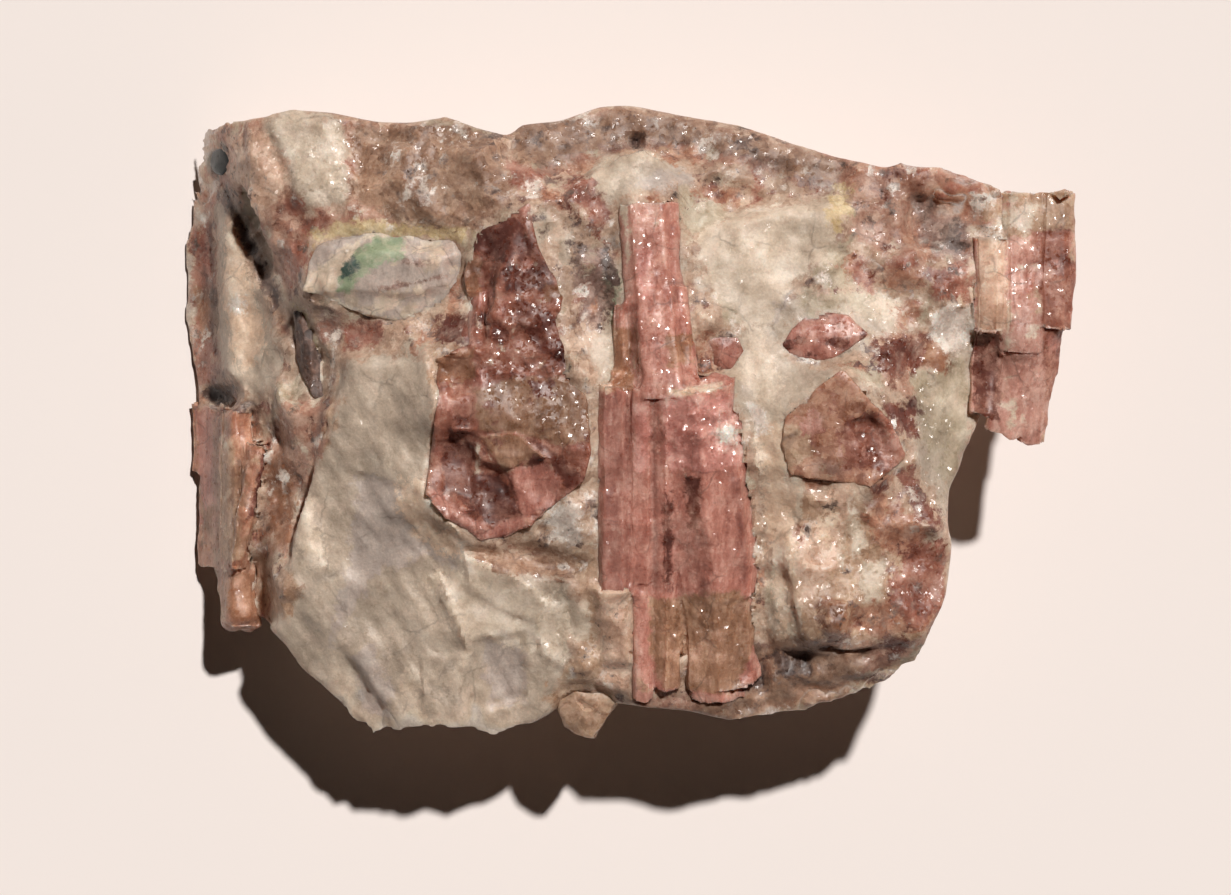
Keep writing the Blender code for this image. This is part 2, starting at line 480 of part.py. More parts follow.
class Points:
    """The points of one top surface, none closer to another than a limit."""

    def __init__(self, limit):
        self.limit = limit
        self.points = []
        self.cells = {}

    def cell(self, point):
        return math.floor(point.x / self.limit), math.floor(point.y / self.limit)

    def add(self, point):
        column, row = self.cell(point)
        for near_column in (column - 1, column, column + 1):
            for near_row in (row - 1, row, row + 1):
                for other in self.cells.get((near_column, near_row), ()):
                    if (other - point).length < self.limit:
                        return
        self.keep(point)

    def keep(self, point):
        self.cells.setdefault(self.cell(point), []).append(point)
        self.points.append(point)


def top_surface(outline, loops, seats, spacing, height_at):
    """A mesh over the outline, with points on every loop and seat and a loose grid between."""
    chance = random.Random(7)
    points = Points(0.42 * LEDGE_SPACING)
    edges = []
    for closed in [outline] + seats:
        first = len(points.points)
        for point in closed:
            points.keep(point)
        count = len(closed)
        edges += [(first + here, first + (here + 1) % count) for here in range(count)]
    for loop in loops:
        for point in loop:
            if distance_to(outline, point) > 0.3:
                points.add(point)
    across = [point.x for point in outline]
    along = [point.y for point in outline]
    for row in range(math.floor(min(along) / spacing), math.ceil(max(along) / spacing) + 1):
        for column in range(math.floor(min(across) / spacing), math.ceil(max(across) / spacing) + 1):
            shift = Vector((chance.uniform(-0.3, 0.3), chance.uniform(-0.3, 0.3)))
            point = (Vector((column + 0.5 * (row % 2), row)) + shift) * spacing
            if distance_to(outline, point) > 0.4 * spacing:
                points.add(point)
    boundary = list(range(len(outline)))
    places, _, triangles, _, _, _ = delaunay_2d_cdt(points.points, edges, [boundary], 1, 1e-4)
    mesh = bmesh.new()
    corners = [mesh.verts.new((place.x, place.y, height_at(place))) for place in places]
    for triangle in triangles:
        centre = sum((places[corner] for corner in triangle), Vector((0.0, 0.0))) / 3.0
        if distance_to(outline, centre) > 0.0:
            mesh.faces.new([corners[corner] for corner in triangle])
    for vertex in [vertex for vertex in mesh.verts if not vertex.link_faces]:
        mesh.verts.remove(vertex)
    return mesh


def ring_below(mesh, ring_edges, place_of):
    """Extrude a ring of edges and put each new corner where place_of says. Returns its edges."""
    made = bmesh.ops.extrude_edge_only(mesh, edges=ring_edges)["geom"]
    for vertex in [item for item in made if isinstance(item, bmesh.types.BMVert)]:
        vertex.co = place_of(vertex.co)
    return [item for item in made if isinstance(item, bmesh.types.BMEdge)]


def close_solid(mesh, ring_edges):
    """Fill the last ring flat, make triangles and turn every face outwards."""
    bmesh.ops.contextual_create(mesh, geom=ring_edges)
    bmesh.ops.triangulate(mesh, faces=[face for face in mesh.faces if len(face.verts) > 3])
    bmesh.ops.recalc_face_normals(mesh, faces=mesh.faces)


def finish(name, mesh, colour, roughness):
    """Turn a bmesh in millimetres into a named object with a material of its own."""
    bmesh.ops.scale(mesh, vec=(MILLIMETRE,) * 3, verts=mesh.verts)
    data = bpy.data.meshes.new(name)
    mesh.to_mesh(data)
    mesh.free()
    piece = bpy.data.objects.new(name, data)
    bpy.context.scene.collection.objects.link(piece)
    material = bpy.data.materials.new(name)
    material.use_nodes = True
    shader = material.node_tree.nodes["Principled BSDF"]
    shader.inputs["Base Color"].default_value = (*colour, 1.0)
    shader.inputs["Roughness"].default_value = roughness
    shader.inputs["Metallic"].default_value = 0.0
    data.materials.append(material)
    return piece


def seat_outlines():
    """Each seat as (outline of the space, height of its floor at Y = 0, the floor's rise along Y)."""
    seats = []
    for outline, _, underside, _ in LYING_CRYSTALS.values():
        space = grown([Vector(point) for point in outline], SEAT_GAP)
        seats.append((space, underside - SEAT_GAP, 0.0))
    for _, bundle_seats, _ in BUNDLES.values():
        for outline, floor, rise in bundle_seats:
            seats.append(([Vector(point) for point in outline], floor, rise))
    return seats


def flank_place(middle, place, level, above):
    """The point one level below this one, no further out than the broken faces."""
    height = place.z * level / above
    flat = Vector((place.x, place.y)) - middle
    reach = flat.length
    azimuth = math.atan2(flat.y, flat.x)
    for degrees, distance, rise in FLANKS:
        facing = math.cos(azimuth - math.radians(degrees))
        if facing > 0.3:
            reach = min(reach, (distance + rise * height) / facing)
    if height > 0.0:
        spot = Vector((place.x, place.y, height * 1.4)) / FLANK_LUMP
        crease = noise.voronoi(spot, distance_metric="DISTANCE", exponent=2.5)[0][0]
        roughness = FLANK_ROUGHNESS * min(1.0, 3.0 - 3.0 * level)
        reach = min(flat.length, reach + roughness * (0.42 - crease))
    return Vector((*(middle + flat.normalized() * reach), height))


def rock():
    """The feldspar and quartz rock: faceted top, seats, undercut flanks and a flat foot."""
    outline = spaced([Vector(point) for point in ROCK_OUTLINE], LEDGE_SPACING * 1.3)
    seats = seat_outlines()
    middle = sum(outline, Vector((0.0, 0.0))) / len(outline)

    def height_at(point):
        height = facet_height(ROCK_FACETS.values(), point, PLAIN_HEIGHT)
        height += ROCK_ROUGHNESS * noise.noise(Vector((point.x * 0.7, point.y * 0.7, 3.0)))
        for seat, floor, rise in seats:
            if distance_to(seat, point) > -0.5 * SEAT_EDGE:
                height = min(height, floor + rise * point.y)
        return height

    loops = []
    for facet in ROCK_FACETS.values():
        for side in (-0.5, 0.5):
            loops.append(spaced(grown(facet.outline, side * facet.ledge), LEDGE_SPACING))
    walls = []
    for seat, _, _ in seats:
        for distance in (0.0, SEAT_EDGE):
            wall = spaced(grown(seat, distance), LEDGE_SPACING * 1.2)
            walls.append(wall)
    mesh = top_surface(outline, loops, walls, ROCK_SPACING, height_at)
    ring = [edge for edge in mesh.edges if edge.is_boundary]
    above = 1.0
    for level in FLANK_LEVELS:
        ring = ring_below(mesh, ring, lambda place: flank_place(middle, place, level, above))
        above = level
    close_solid(mesh, ring)
    return finish("matrix", mesh, (0.5, 0.4, 0.33), 0.55)


def lying_crystal(name, outline, facets, underside, colour):
    """A crystal with its own faces on top and steep sides that go down into its seat."""
    outline = spaced([Vector(point) for point in outline], LEDGE_SPACING)
    middle = sum(outline, Vector((0.0, 0.0))) / len(outline)
    highest = max(facet.height for facet in facets)

    def height_at(point):
        return facet_height(facets, point, highest - 0.4)

    loops = []
    for facet in facets:
        for side in (-0.5, 0.5):
            loops.append(spaced(grown(facet.outline, side * facet.ledge), LEDGE_SPACING))
    mesh = top_surface(outline, loops, [], ROCK_SPACING, height_at)
    ring = [edge for edge in mesh.edges if edge.is_boundary]

    def place_of(place):
        flat = Vector((place.x, place.y)) - middle
        return Vector((*(middle + flat * 0.96), underside))

    close_solid(mesh, ring_below(mesh, ring, place_of))
    return finish(name, mesh, colour, 0.3)


def prism_mesh(prism):
    """One prism as a mesh: rings along its axis, doubled at each step, and two flat ends."""
    along = (prism.end - prism.start).normalized()
    across = Vector((0.0, 0.0, 1.0)).cross(along).normalized()
    up = along.cross(across)
    length = (prism.end - prism.start).length
    step_length = 0.12 / length
    rings = [(0.0, 1.0, 0.0)]
    for share, size, shift in prism.steps:
        rings.append((share, rings[-1][1], rings[-1][2]))
        rings.append((share + step_length, size, shift))
    rings.append((1.0, rings[-1][1], rings[-1][2]))
    mesh = bmesh.new()
    loops = []
    for share, size, shift in rings:
        centre = prism.start.lerp(prism.end, share) + across * shift
        loop = []
        for side in range(prism.sides):
            angle = math.radians(prism.roll) + math.tau * side / prism.sides
            reach = across * (math.cos(angle) * prism.width) + up * (math.sin(angle) * prism.depth)
            loop.append(mesh.verts.new(centre + reach * (0.5 * size)))
        loops.append(loop)
    for lower, upper in zip(loops, loops[1:]):
        for side in range(prism.sides):
            after = (side + 1) % prism.sides
            mesh.faces.new((lower[side], lower[after], upper[after], upper[side]))
    mesh.faces.new(loops[0][::-1])
    mesh.faces.new(loops[-1])
    bmesh.ops.recalc_face_normals(mesh, faces=mesh.faces)
    return mesh


def bundle(name, prisms, colour):
    """Prisms grown together: the first is joined with each of the others into one solid."""
    whole = finish(name, prism_mesh(prisms[0]), colour, 0.3)
    for number, prism in enumerate(prisms[1:]):
        other = finish(f"{name}_prism_{number}", prism_mesh(prism), colour, 0.3)
        other.hide_render = True
        other.display_type = "WIRE"
        union = whole.modifiers.new(f"join {number}", "BOOLEAN")
        union.operation = "UNION"
        union.solver = "EXACT"
        union.object = other
    return whole


def centre_over_origin():
    """Move every object so that the whole specimen stands centred over the origin."""
    graph = bpy.context.evaluated_depsgraph_get()
    corners = []
    for piece in bpy.data.objects:
        if not piece.hide_render:
            corners += [vertex.co.copy() for vertex in piece.evaluated_get(graph).data.vertices]
    for axis in (0, 1):
        lowest = min(corner[axis] for corner in corners)
        highest = max(corner[axis] for corner in corners)
        for piece in bpy.data.objects:
            piece.location[axis] -= 0.5 * (lowest + highest)


def main():
    for old in list(bpy.data.objects):
        bpy.data.objects.remove(old)
    rock()
    for name, (outline, facets, underside, colour) in LYING_CRYSTALS.items():
        lying_crystal(name, outline, facets, underside, colour)
    for name, (prisms, _, colour) in BUNDLES.items():
        bundle(name, prisms, colour)
    centre_over_origin()


main()
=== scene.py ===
import itertools

import bmesh
import bpy
import numpy as np
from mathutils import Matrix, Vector
from mathutils.bvhtree import BVHTree


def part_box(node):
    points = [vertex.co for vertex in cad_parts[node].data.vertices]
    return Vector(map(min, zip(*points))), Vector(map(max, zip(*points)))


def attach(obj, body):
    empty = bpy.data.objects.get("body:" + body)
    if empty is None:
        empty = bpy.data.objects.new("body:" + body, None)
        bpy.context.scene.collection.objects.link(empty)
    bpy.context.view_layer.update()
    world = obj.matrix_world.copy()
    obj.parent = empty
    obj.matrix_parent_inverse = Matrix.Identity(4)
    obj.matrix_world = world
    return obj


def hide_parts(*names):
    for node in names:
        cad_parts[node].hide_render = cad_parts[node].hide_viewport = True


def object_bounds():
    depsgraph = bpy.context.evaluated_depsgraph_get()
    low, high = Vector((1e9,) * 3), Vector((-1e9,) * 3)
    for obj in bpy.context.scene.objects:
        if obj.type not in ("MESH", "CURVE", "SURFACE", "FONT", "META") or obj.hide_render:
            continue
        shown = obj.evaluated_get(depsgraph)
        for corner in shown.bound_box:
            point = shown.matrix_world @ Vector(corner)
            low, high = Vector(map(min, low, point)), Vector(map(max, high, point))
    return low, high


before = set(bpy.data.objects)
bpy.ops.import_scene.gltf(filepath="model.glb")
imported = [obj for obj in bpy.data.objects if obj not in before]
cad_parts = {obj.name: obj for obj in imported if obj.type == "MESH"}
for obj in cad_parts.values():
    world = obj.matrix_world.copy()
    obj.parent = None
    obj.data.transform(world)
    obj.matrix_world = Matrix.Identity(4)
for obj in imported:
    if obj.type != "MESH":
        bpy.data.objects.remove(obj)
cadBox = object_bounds()
mm = 0.001  # lengths below are in millimetres, the mesh is in metres
print("frame loaded:", len(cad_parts), "nodes")


def cellChance(cell, salt):  # a number from 0 to 1 for each whole-number cell, the same in every run
    mixed = np.full(len(cell), (salt * 2654435761) & 0xFFFFFFFF, np.uint32)
    for axis in range(cell.shape[1]):
        mixed = (mixed ^ cell[:, axis].astype(np.int64).astype(np.uint32)) * np.uint32(2246822519)
        mixed ^= mixed >> np.uint32(15)
        mixed *= np.uint32(3266489917)
    mixed ^= mixed >> np.uint32(13)
    return mixed / 4294967295.0


def softNoise(points, size, salt, layers=1):  # smooth lumps from -1 to 1, about this many mm wide
    total = np.zeros(len(points))
    reach = 0.0
    for layer in range(layers):
        scaled = points * (2.0**layer / size)
        corner = np.floor(scaled)
        share = scaled - corner
        share = share * share * (3.0 - 2.0 * share)
        value = np.zeros(len(points))
        for step in itertools.product((0, 1), repeat=points.shape[1]):
            weight = np.prod(np.where(step, share, 1.0 - share), axis=1)
            value += weight * cellChance(corner + step, salt + 31 * layer)
        total += (2.0 * value - 1.0) * 0.5**layer
        reach += 0.5**layer
    return total / reach


def lumps(points, size, level, salt, layers):  # above 0 inside scattered lumps, fewer at a higher level
    return (softNoise(points, size, salt, layers) - level) * size * 0.8


def chipNoise(points, size, salt, tilt=0.55, bowl=1.1):  # tilted shallow bowls that meet in sharp ridges
    scaled = points / size
    corner = np.floor(scaled)
    lowest = np.full(len(points), 9.0)
    for step in itertools.product((-1, 0, 1), repeat=points.shape[1]):
        cell = corner + step
        height = 0.5 * cellChance(cell, salt)
        for axis in range(points.shape[1]):
            offset = scaled[:, axis] - cell[:, axis] - cellChance(cell, salt + 1 + axis)
            height += offset * tilt * (2.0 * cellChance(cell, salt + 5 + axis) - 1.0)
            height += bowl * offset * offset
        lowest = np.minimum(lowest, height)
    return lowest * size


def insideBy(points, outline):  # distance in from an outline, below 0 outside it
    corners = np.array(outline)
    nearest = np.full(len(points), 99.0)
    inside = np.zeros(len(points), bool)
    before = corners[-1]
    for after in corners:
        side = after - before
        offset = points - before
        share = np.clip(offset @ side / max(side @ side, 1e-9), 0.0, 1.0)
        nearest = np.minimum(nearest, np.hypot(*(offset - share[:, None] * side).T))
        rise = side[1] if side[1] else 1e-9
        crossing = before[0] + side[0] * (points[:, 1] - before[1]) / rise
        inside ^= ((before[1] > points[:, 1]) != (after[1] > points[:, 1])) & (points[:, 0] < crossing)
        before = after
    return np.where(inside, nearest, -nearest)


farOutside = -2.0  # mm, as far out of an outline as it is worth telling


def insideAny(points, outlines):  # the deepest of several outlines, looked at only near each one
    deepest = np.full(len(points), farOutside)
    for outline in outlines:
        low = np.min(outline, axis=0) + farOutside
        high = np.max(outline, axis=0) - farOutside
        near = np.all((points > low) & (points < high), axis=1)
        if near.any():
            deepest[near] = np.maximum(deepest[near], insideBy(points[near], outline))
    return deepest


def smoothStep(values, low, high):
    share = np.clip((values - low) / (high - low), 0.0, 1.0)
    return share * share * (3.0 - 2.0 * share)


def shareInside(points, outline, soft):  # from 0 to 1 over this many mm on both sides of an outline
    return smoothStep(insideAny(points, [outline]), -soft, soft)


def vectorsOf(items, name):
    numbers = np.empty(len(items) * 3)
    items.foreach_get(name, numbers)
    return numbers.reshape(-1, 3)


def pointsOf(piece):
    return vectorsOf(piece.data.vertices, "co") / mm


def normalsOf(piece):
    return vectorsOf(piece.data.vertex_normals, "vector")


def setPoints(piece, points):
    piece.data.vertices.foreach_set("co", (points * mm).ravel())
    piece.data.update()


def setField(piece, name, values):  # one number at each point, for the materials to read
    field = piece.data.attributes.new(name, "FLOAT", "POINT")
    field.data.foreach_set("value", values)


def treeOf(piece):
    faces = [tuple(face.vertices) for face in piece.data.polygons]
    return BVHTree.FromPolygons([tuple(point) for point in pointsOf(piece)], faces)


def selectOnly(piece):
    bpy.ops.object.select_all(action="DESELECT")
    piece.select_set(True)
    bpy.context.view_layer.objects.active = piece


def copyOfNode(nodeName, pieceName):  # a copy of the CAD solid with its loose triangles merged
    piece = bpy.data.objects.new(pieceName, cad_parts[nodeName].data.copy())
    bpy.context.scene.collection.objects.link(piece)
    piece.data.name = pieceName
    selectOnly(piece)
    bpy.ops.object.mode_set(mode="EDIT")
    bpy.ops.mesh.select_all(action="SELECT")
    bpy.ops.mesh.remove_doubles(threshold=0.001 * mm)
    bpy.ops.object.mode_set(mode="OBJECT")
    return piece


def evenFaces(piece, size):  # the same solid in small square faces of this size
    selectOnly(piece)
    remesh = piece.modifiers.new("evenFaces", "REMESH")
    remesh.mode = "VOXEL"
    remesh.voxel_size = size * mm
    bpy.ops.object.modifier_apply(modifier="evenFaces")


leftFall = {"share": 0.75, "between": (26.2, 29.5)}  # the rim comes down to the table on the left


def finishPiece(piece, nodeName, facts, present):
    low, high = (np.array(corner) / mm for corner in cadBox)
    points = pointsOf(piece)
    points[:, 2] *= 1.0 - leftFall["share"] * smoothStep(-points[:, 0], *leftFall["between"])
    setPoints(piece, np.clip(points, low, high))
    selectOnly(piece)
    bpy.ops.object.shade_smooth_by_angle(angle=np.radians(facts.get("smoothAngle", 34)))
    piece.data.materials.clear()
    piece.data.materials.append(mineralMaterial(facts, present))
    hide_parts(nodeName)
    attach(piece, "root")
    print("piece:", piece.name, len(piece.data.polygons), "faces")


def addNode(tree, kind, inputs=(), **settings):
    made = tree.nodes.new(kind)
    for name, value in settings.items():
        setattr(made, name, value)
    for name, value in dict(inputs).items():
        if isinstance(value, bpy.types.NodeSocket):
            tree.links.new(value, made.inputs[name])
        else:
            made.inputs[name].default_value = value
    return made


def mixColour(tree, share, first, second):
    made = addNode(tree, "ShaderNodeMix", {0: share, 6: first, 7: second}, data_type="RGBA")
    return made.outputs[2]


def mixValue(tree, share, first, second):
    return addNode(tree, "ShaderNodeMix", {0: share, 2: first, 3: second}, data_type="FLOAT").outputs[0]


def calc(tree, operation, *values, clamp=False):
    made = addNode(tree, "ShaderNodeMath", dict(enumerate(values)), operation=operation, use_clamp=clamp)
    return made.outputs[0]


def vectorCalc(tree, operation, first, second=(0.0, 0.0, 0.0), scale=1.0):
    made = addNode(tree, "ShaderNodeVectorMath", {0: first, 1: second, 3: scale}, operation=operation)
    return made.outputs[0]


def ranged(tree, value, low, high, toLow=0.0, toHigh=1.0, smooth=False):
    kind = "SMOOTHSTEP" if smooth else "LINEAR"
    made = addNode(tree, "ShaderNodeMapRange", {0: value, 1: low, 2: high, 3: toLow, 4: toHigh},
                   interpolation_type=kind)
    return made.outputs[0]


def noise(tree, vector, scale, detail, rough=0.6, output=0):
    made = addNode(tree, "ShaderNodeTexNoise",
                   {"Vector": vector, "Scale": scale, "Detail": detail, "Roughness": rough})
    return made.outputs[output]


def fieldNode(tree, name):
    return addNode(tree, "ShaderNodeAttribute", attribute_name=name).outputs["Fac"]


def asLinear(colour):  # a colour as painters name it, 0 to 255, to the shader's scale
    share = np.array(colour) / 255.0
    return tuple(np.where(share < 0.04045, share / 12.92, ((share + 0.055) / 1.055) ** 2.4)) + (1.0,)


studio = {
    "viewPoint": (-0.48, -1.65, 514.0),  # straight above the specimen
    "lens": 219.3,
    "farthest": 10.0,  # metres that the camera sees
    "lampDirection": (0.256, 0.453, 0.854),  # towards the lamp
    "lampStrength": 3.5,
    "lampAngle": 2.6,  # degrees that the lamp covers in the sky
    "lampColour": (1.0, 0.955, 0.92),
    "skyHorizon": (0.021, 0.0147, 0.0125, 1.0),
    "skyTop": (0.01, 0.008, 0.007, 1.0),
    "floorSize": 1400.0,
    "floorColour": (0.93, 0.865, 0.83),
    "floorFibres": (0.985, 60.0),  # how dark they are, how fine
}


def makeCamera(scene):
    lens = bpy.data.cameras.new("camera")
    lens.lens = studio["lens"]
    lens.sensor_width = 36.0
    lens.clip_end = studio["farthest"]
    camera = bpy.data.objects.new("camera", lens)
    camera.location = Vector(studio["viewPoint"]) * mm
    scene.collection.objects.link(camera)
    scene.camera = camera


def makeLamp(scene):
    glow = bpy.data.lights.new("lamp", "SUN")
    glow.energy = studio["lampStrength"]
    glow.angle = np.radians(studio["lampAngle"])
    glow.color = studio["lampColour"]
    lamp = bpy.data.objects.new("lamp", glow)
    lamp.rotation_euler = Vector(studio["lampDirection"]).to_track_quat("Z", "Y").to_euler()
    scene.collection.objects.link(lamp)


def makeSky(scene):
    sky = bpy.data.worlds.new("sky")
    sky.use_nodes = True
    scene.world = sky
    tree = sky.node_tree
    place = addNode(tree, "ShaderNodeTexCoord").outputs["Generated"]
    height = addNode(tree, "ShaderNodeSeparateXYZ", {0: place}).outputs["Z"]
    colour = mixColour(tree, ranged(tree, height, 0.1, 0.55), studio["skyHorizon"], studio["skyTop"])
    tree.links.new(colour, tree.nodes["Background"].inputs["Color"])


def makeFloor():
    bpy.ops.mesh.primitive_plane_add(size=studio["floorSize"] * mm)
    floor = bpy.context.active_object
    floor.name = "floor"
    paper = bpy.data.materials.new("palePaper")
    paper.use_nodes = True
    tree = paper.node_tree
    shader = tree.nodes["Principled BSDF"]
    place = addNode(tree, "ShaderNodeTexCoord").outputs["Object"]
    dark, fine = studio["floorFibres"]
    fibres = ranged(tree, noise(tree, place, fine, 4.0, 0.5), 0.0, 1.0)
    pale = np.array(studio["floorColour"])
    colour = mixColour(tree, fibres, (*(pale * dark), 1), (*pale, 1))
    tree.links.new(colour, shader.inputs["Base Color"])
    shader.inputs["Roughness"].default_value = 0.9
    shader.inputs["Specular IOR Level"].default_value = 0.1
    floor.data.materials.append(paper)


def makeStudio():
    scene = bpy.context.scene
    scene.view_settings.view_transform = "Standard"
    makeCamera(scene)
    makeLamp(scene)
    makeSky(scene)
    makeFloor()
    print("studio ready")


minerals = {  # colours from dark to light, what spreads them, how glossy, how sparkling
    "granite": (((144, 112, 92), (186, 156, 134), (216, 192, 170)), "grain", 0.4, 0.4),
    "feldspar": (((162, 144, 127), (189, 171, 152), (212, 196, 178)), "streak", 0.5, 0.25),
    "lavender": (((158, 142, 132), (186, 170, 159), (206, 192, 180)), "streak", 0.5, 0.25),
    "tan": (((150, 114, 88), (184, 150, 124), (212, 184, 158)), "grain", 0.4, 0.45),
    "rust": (((136, 88, 70), (178, 134, 114), (208, 174, 152)), "grain", 0.5, 0.45),
    "mauve": (((106, 80, 71), (148, 118, 106), (184, 156, 143)), "grain", 0.5, 0.45),
    "olive": (((150, 134, 112), (186, 169, 145), (212, 199, 178)), "cloud", 0.45, 0.4),
    "cream": (((188, 167, 145), (212, 194, 173), (235, 220, 203)), "cloud", 0.3, 0.25),
    "salmon": (((134, 86, 66), (172, 122, 98), (202, 160, 134)), "grain", 0.7, 0.4),
    "brick": (((112, 60, 46), (156, 100, 82), (194, 146, 127)), "cloud", 0.55, 0.5),
    "pinkPrism": (((158, 106, 92), (192, 142, 127), (218, 180, 165)), "streak", 0.8, 0.5),
    "rose": (((136, 80, 68), (180, 122, 107), (212, 164, 149)), "streak", 0.75, 0.5),
    "paleStone": (((118, 82, 60), (156, 116, 91), (190, 154, 128)), "streak", 0.5, 0.35),
    "wine": (((70, 33, 27), (110, 60, 48), (152, 102, 86)), "cloud", 0.5, 0.4),
    "orange": (((118, 78, 58), (156, 110, 84), (188, 146, 118)), "cloud", 0.6, 0.4),
    "yellow": (((178, 150, 106), (208, 184, 142), (232, 214, 176)), "grain", 0.3, 0.4),
    "mint": (((132, 146, 116), (158, 170, 140), (186, 194, 166)), "cloud", 0.45, 0.25),
    "teal": (((52, 72, 64), (92, 112, 102), (134, 148, 136)), "cloud", 0.55, 0.35),
    # of the colours below, the two pale ones are partly painted light, the brown one partly painted shade,
    # and the brightest partly painted glints
    "blushAndPaintedLight": (((180, 142, 119), (211, 175, 151), (231, 205, 184)), "grain", 0.5, 0.4),
    "duskAndPaintedShade": (((114, 84, 67), (161, 125, 102), (194, 160, 135)), "grain", 0.5, 0.45),
    "ivoryAndPaintedLight": (((200, 168, 142), (226, 198, 172), (244, 226, 206)), "cloud", 0.4, 0.35),
    "petal": (((170, 108, 96), (208, 150, 138), (234, 196, 184)), "cloud", 0.85, 0.6),
    "whiteAndPaintedGlint": (((204, 188, 175), (230, 215, 202), (250, 242, 233)), "grain", 0.85, 0.65),
    "dark": (((62, 46, 40), (100, 78, 69), (150, 122, 108)), "grain", 0.5, 0.45),
    "glass": (((6, 16, 18), (14, 36, 38), (40, 62, 60)), "grain", 1.0, 0.2),
}


stoneLook = {  # how a stone looks where its piece doesn't say otherwise
    "warp": 0.6,  # mm that the patterns are pushed about
    "cloudScale": 0.4,
    "grainScale": 1.4,
    "streakTurn": (0, 0, 0),
    "streakSize": (0.45, 2.2, 0.45),
    "ragged": 0.5,  # mm that the edge between two minerals wanders
    "blur": 0.16,
    "flecks": 0.35,
    "fleckColour": (232, 206, 188),
    "veil": 0.4,  # a pale film in patches
    "veilColour": (222, 182, 164),
    "specks": 0.25,
    "speckColour": (72, 50, 43),
    "crackScale": 0.42,
    "cracks": 0.4,
    "crackColour": (64, 46, 40),
    "shadeColour": (48, 34, 32),
    "glintScale": 5.0,
    "streakBump": 0.3,
    "bump": 0.25,
    "softness": 0.7,  # how much light goes in and comes out nearby
    "polish": 0.33,  # roughness where it is glossiest
    "shine": 0.5,
    "gain": 1.0,  # lighter above 1
}


def stonePatterns(tree, look):  # the patterns that the colour and the surface share
    place = addNode(tree, "ShaderNodeTexCoord").outputs["Object"]
    place = vectorCalc(tree, "SCALE", place, scale=1.0 / mm)
    push = vectorCalc(tree, "SUBTRACT", noise(tree, place, 0.9, 3.0, output=1), (0.5,) * 3)
    push = vectorCalc(tree, "SCALE", push, scale=look["warp"])
    warped = vectorCalc(tree, "ADD", place, push)
    fine = noise(tree, place, 2.6, 5.0, 0.65)
    cloud = ranged(tree, noise(tree, warped, look["cloudScale"], 7.0, 0.66), 0.32, 0.68)
    cells = addNode(tree, "ShaderNodeTexVoronoi", {"Vector": warped, "Scale": look["grainScale"]})
    cellParts = addNode(tree, "ShaderNodeSeparateColor", {0: cells.outputs["Color"]})
    spread = ranged(tree, fine, 0.3, 0.7, -0.35, 0.35)
    grain = calc(tree, "MULTIPLY_ADD", cellParts.outputs[0], 0.7, calc(tree, "ADD", spread, 0.15), clamp=True)
    grain = calc(tree, "MULTIPLY_ADD", cloud, 0.45, calc(tree, "MULTIPLY", grain, 0.6), clamp=True)
    stretched = addNode(tree, "ShaderNodeMapping",
                        {"Vector": warped, "Rotation": look["streakTurn"], "Scale": look["streakSize"]},
                        vector_type="TEXTURE")
    streak = ranged(tree, noise(tree, stretched.outputs[0], 1.0, 6.0, 0.65), 0.3, 0.7)
    streak = calc(tree, "MULTIPLY_ADD", cloud, 0.45, calc(tree, "MULTIPLY", streak, 0.6), clamp=True)
    return {"place": place, "warped": warped, "fine": fine, "cellChance": cellParts.outputs[1],
            "cellDistance": cells.outputs["Distance"], "cloud": cloud, "grain": grain, "streak": streak,
            "sparkle": fieldNode(tree, "sparkle")}


def mineralRamp(tree, mineral, patterns):
    colours, pattern = minerals[mineral][:2]
    ramp = addNode(tree, "ShaderNodeValToRGB", {0: patterns[pattern]})
    stops = ramp.color_ramp.elements
    stops[0].position = 0.08
    stops[1].position = 0.92
    stops.new(0.5)
    for stop, colour in zip(stops, colours):
        stop.color = asLinear(colour)
    return ramp.outputs[0]


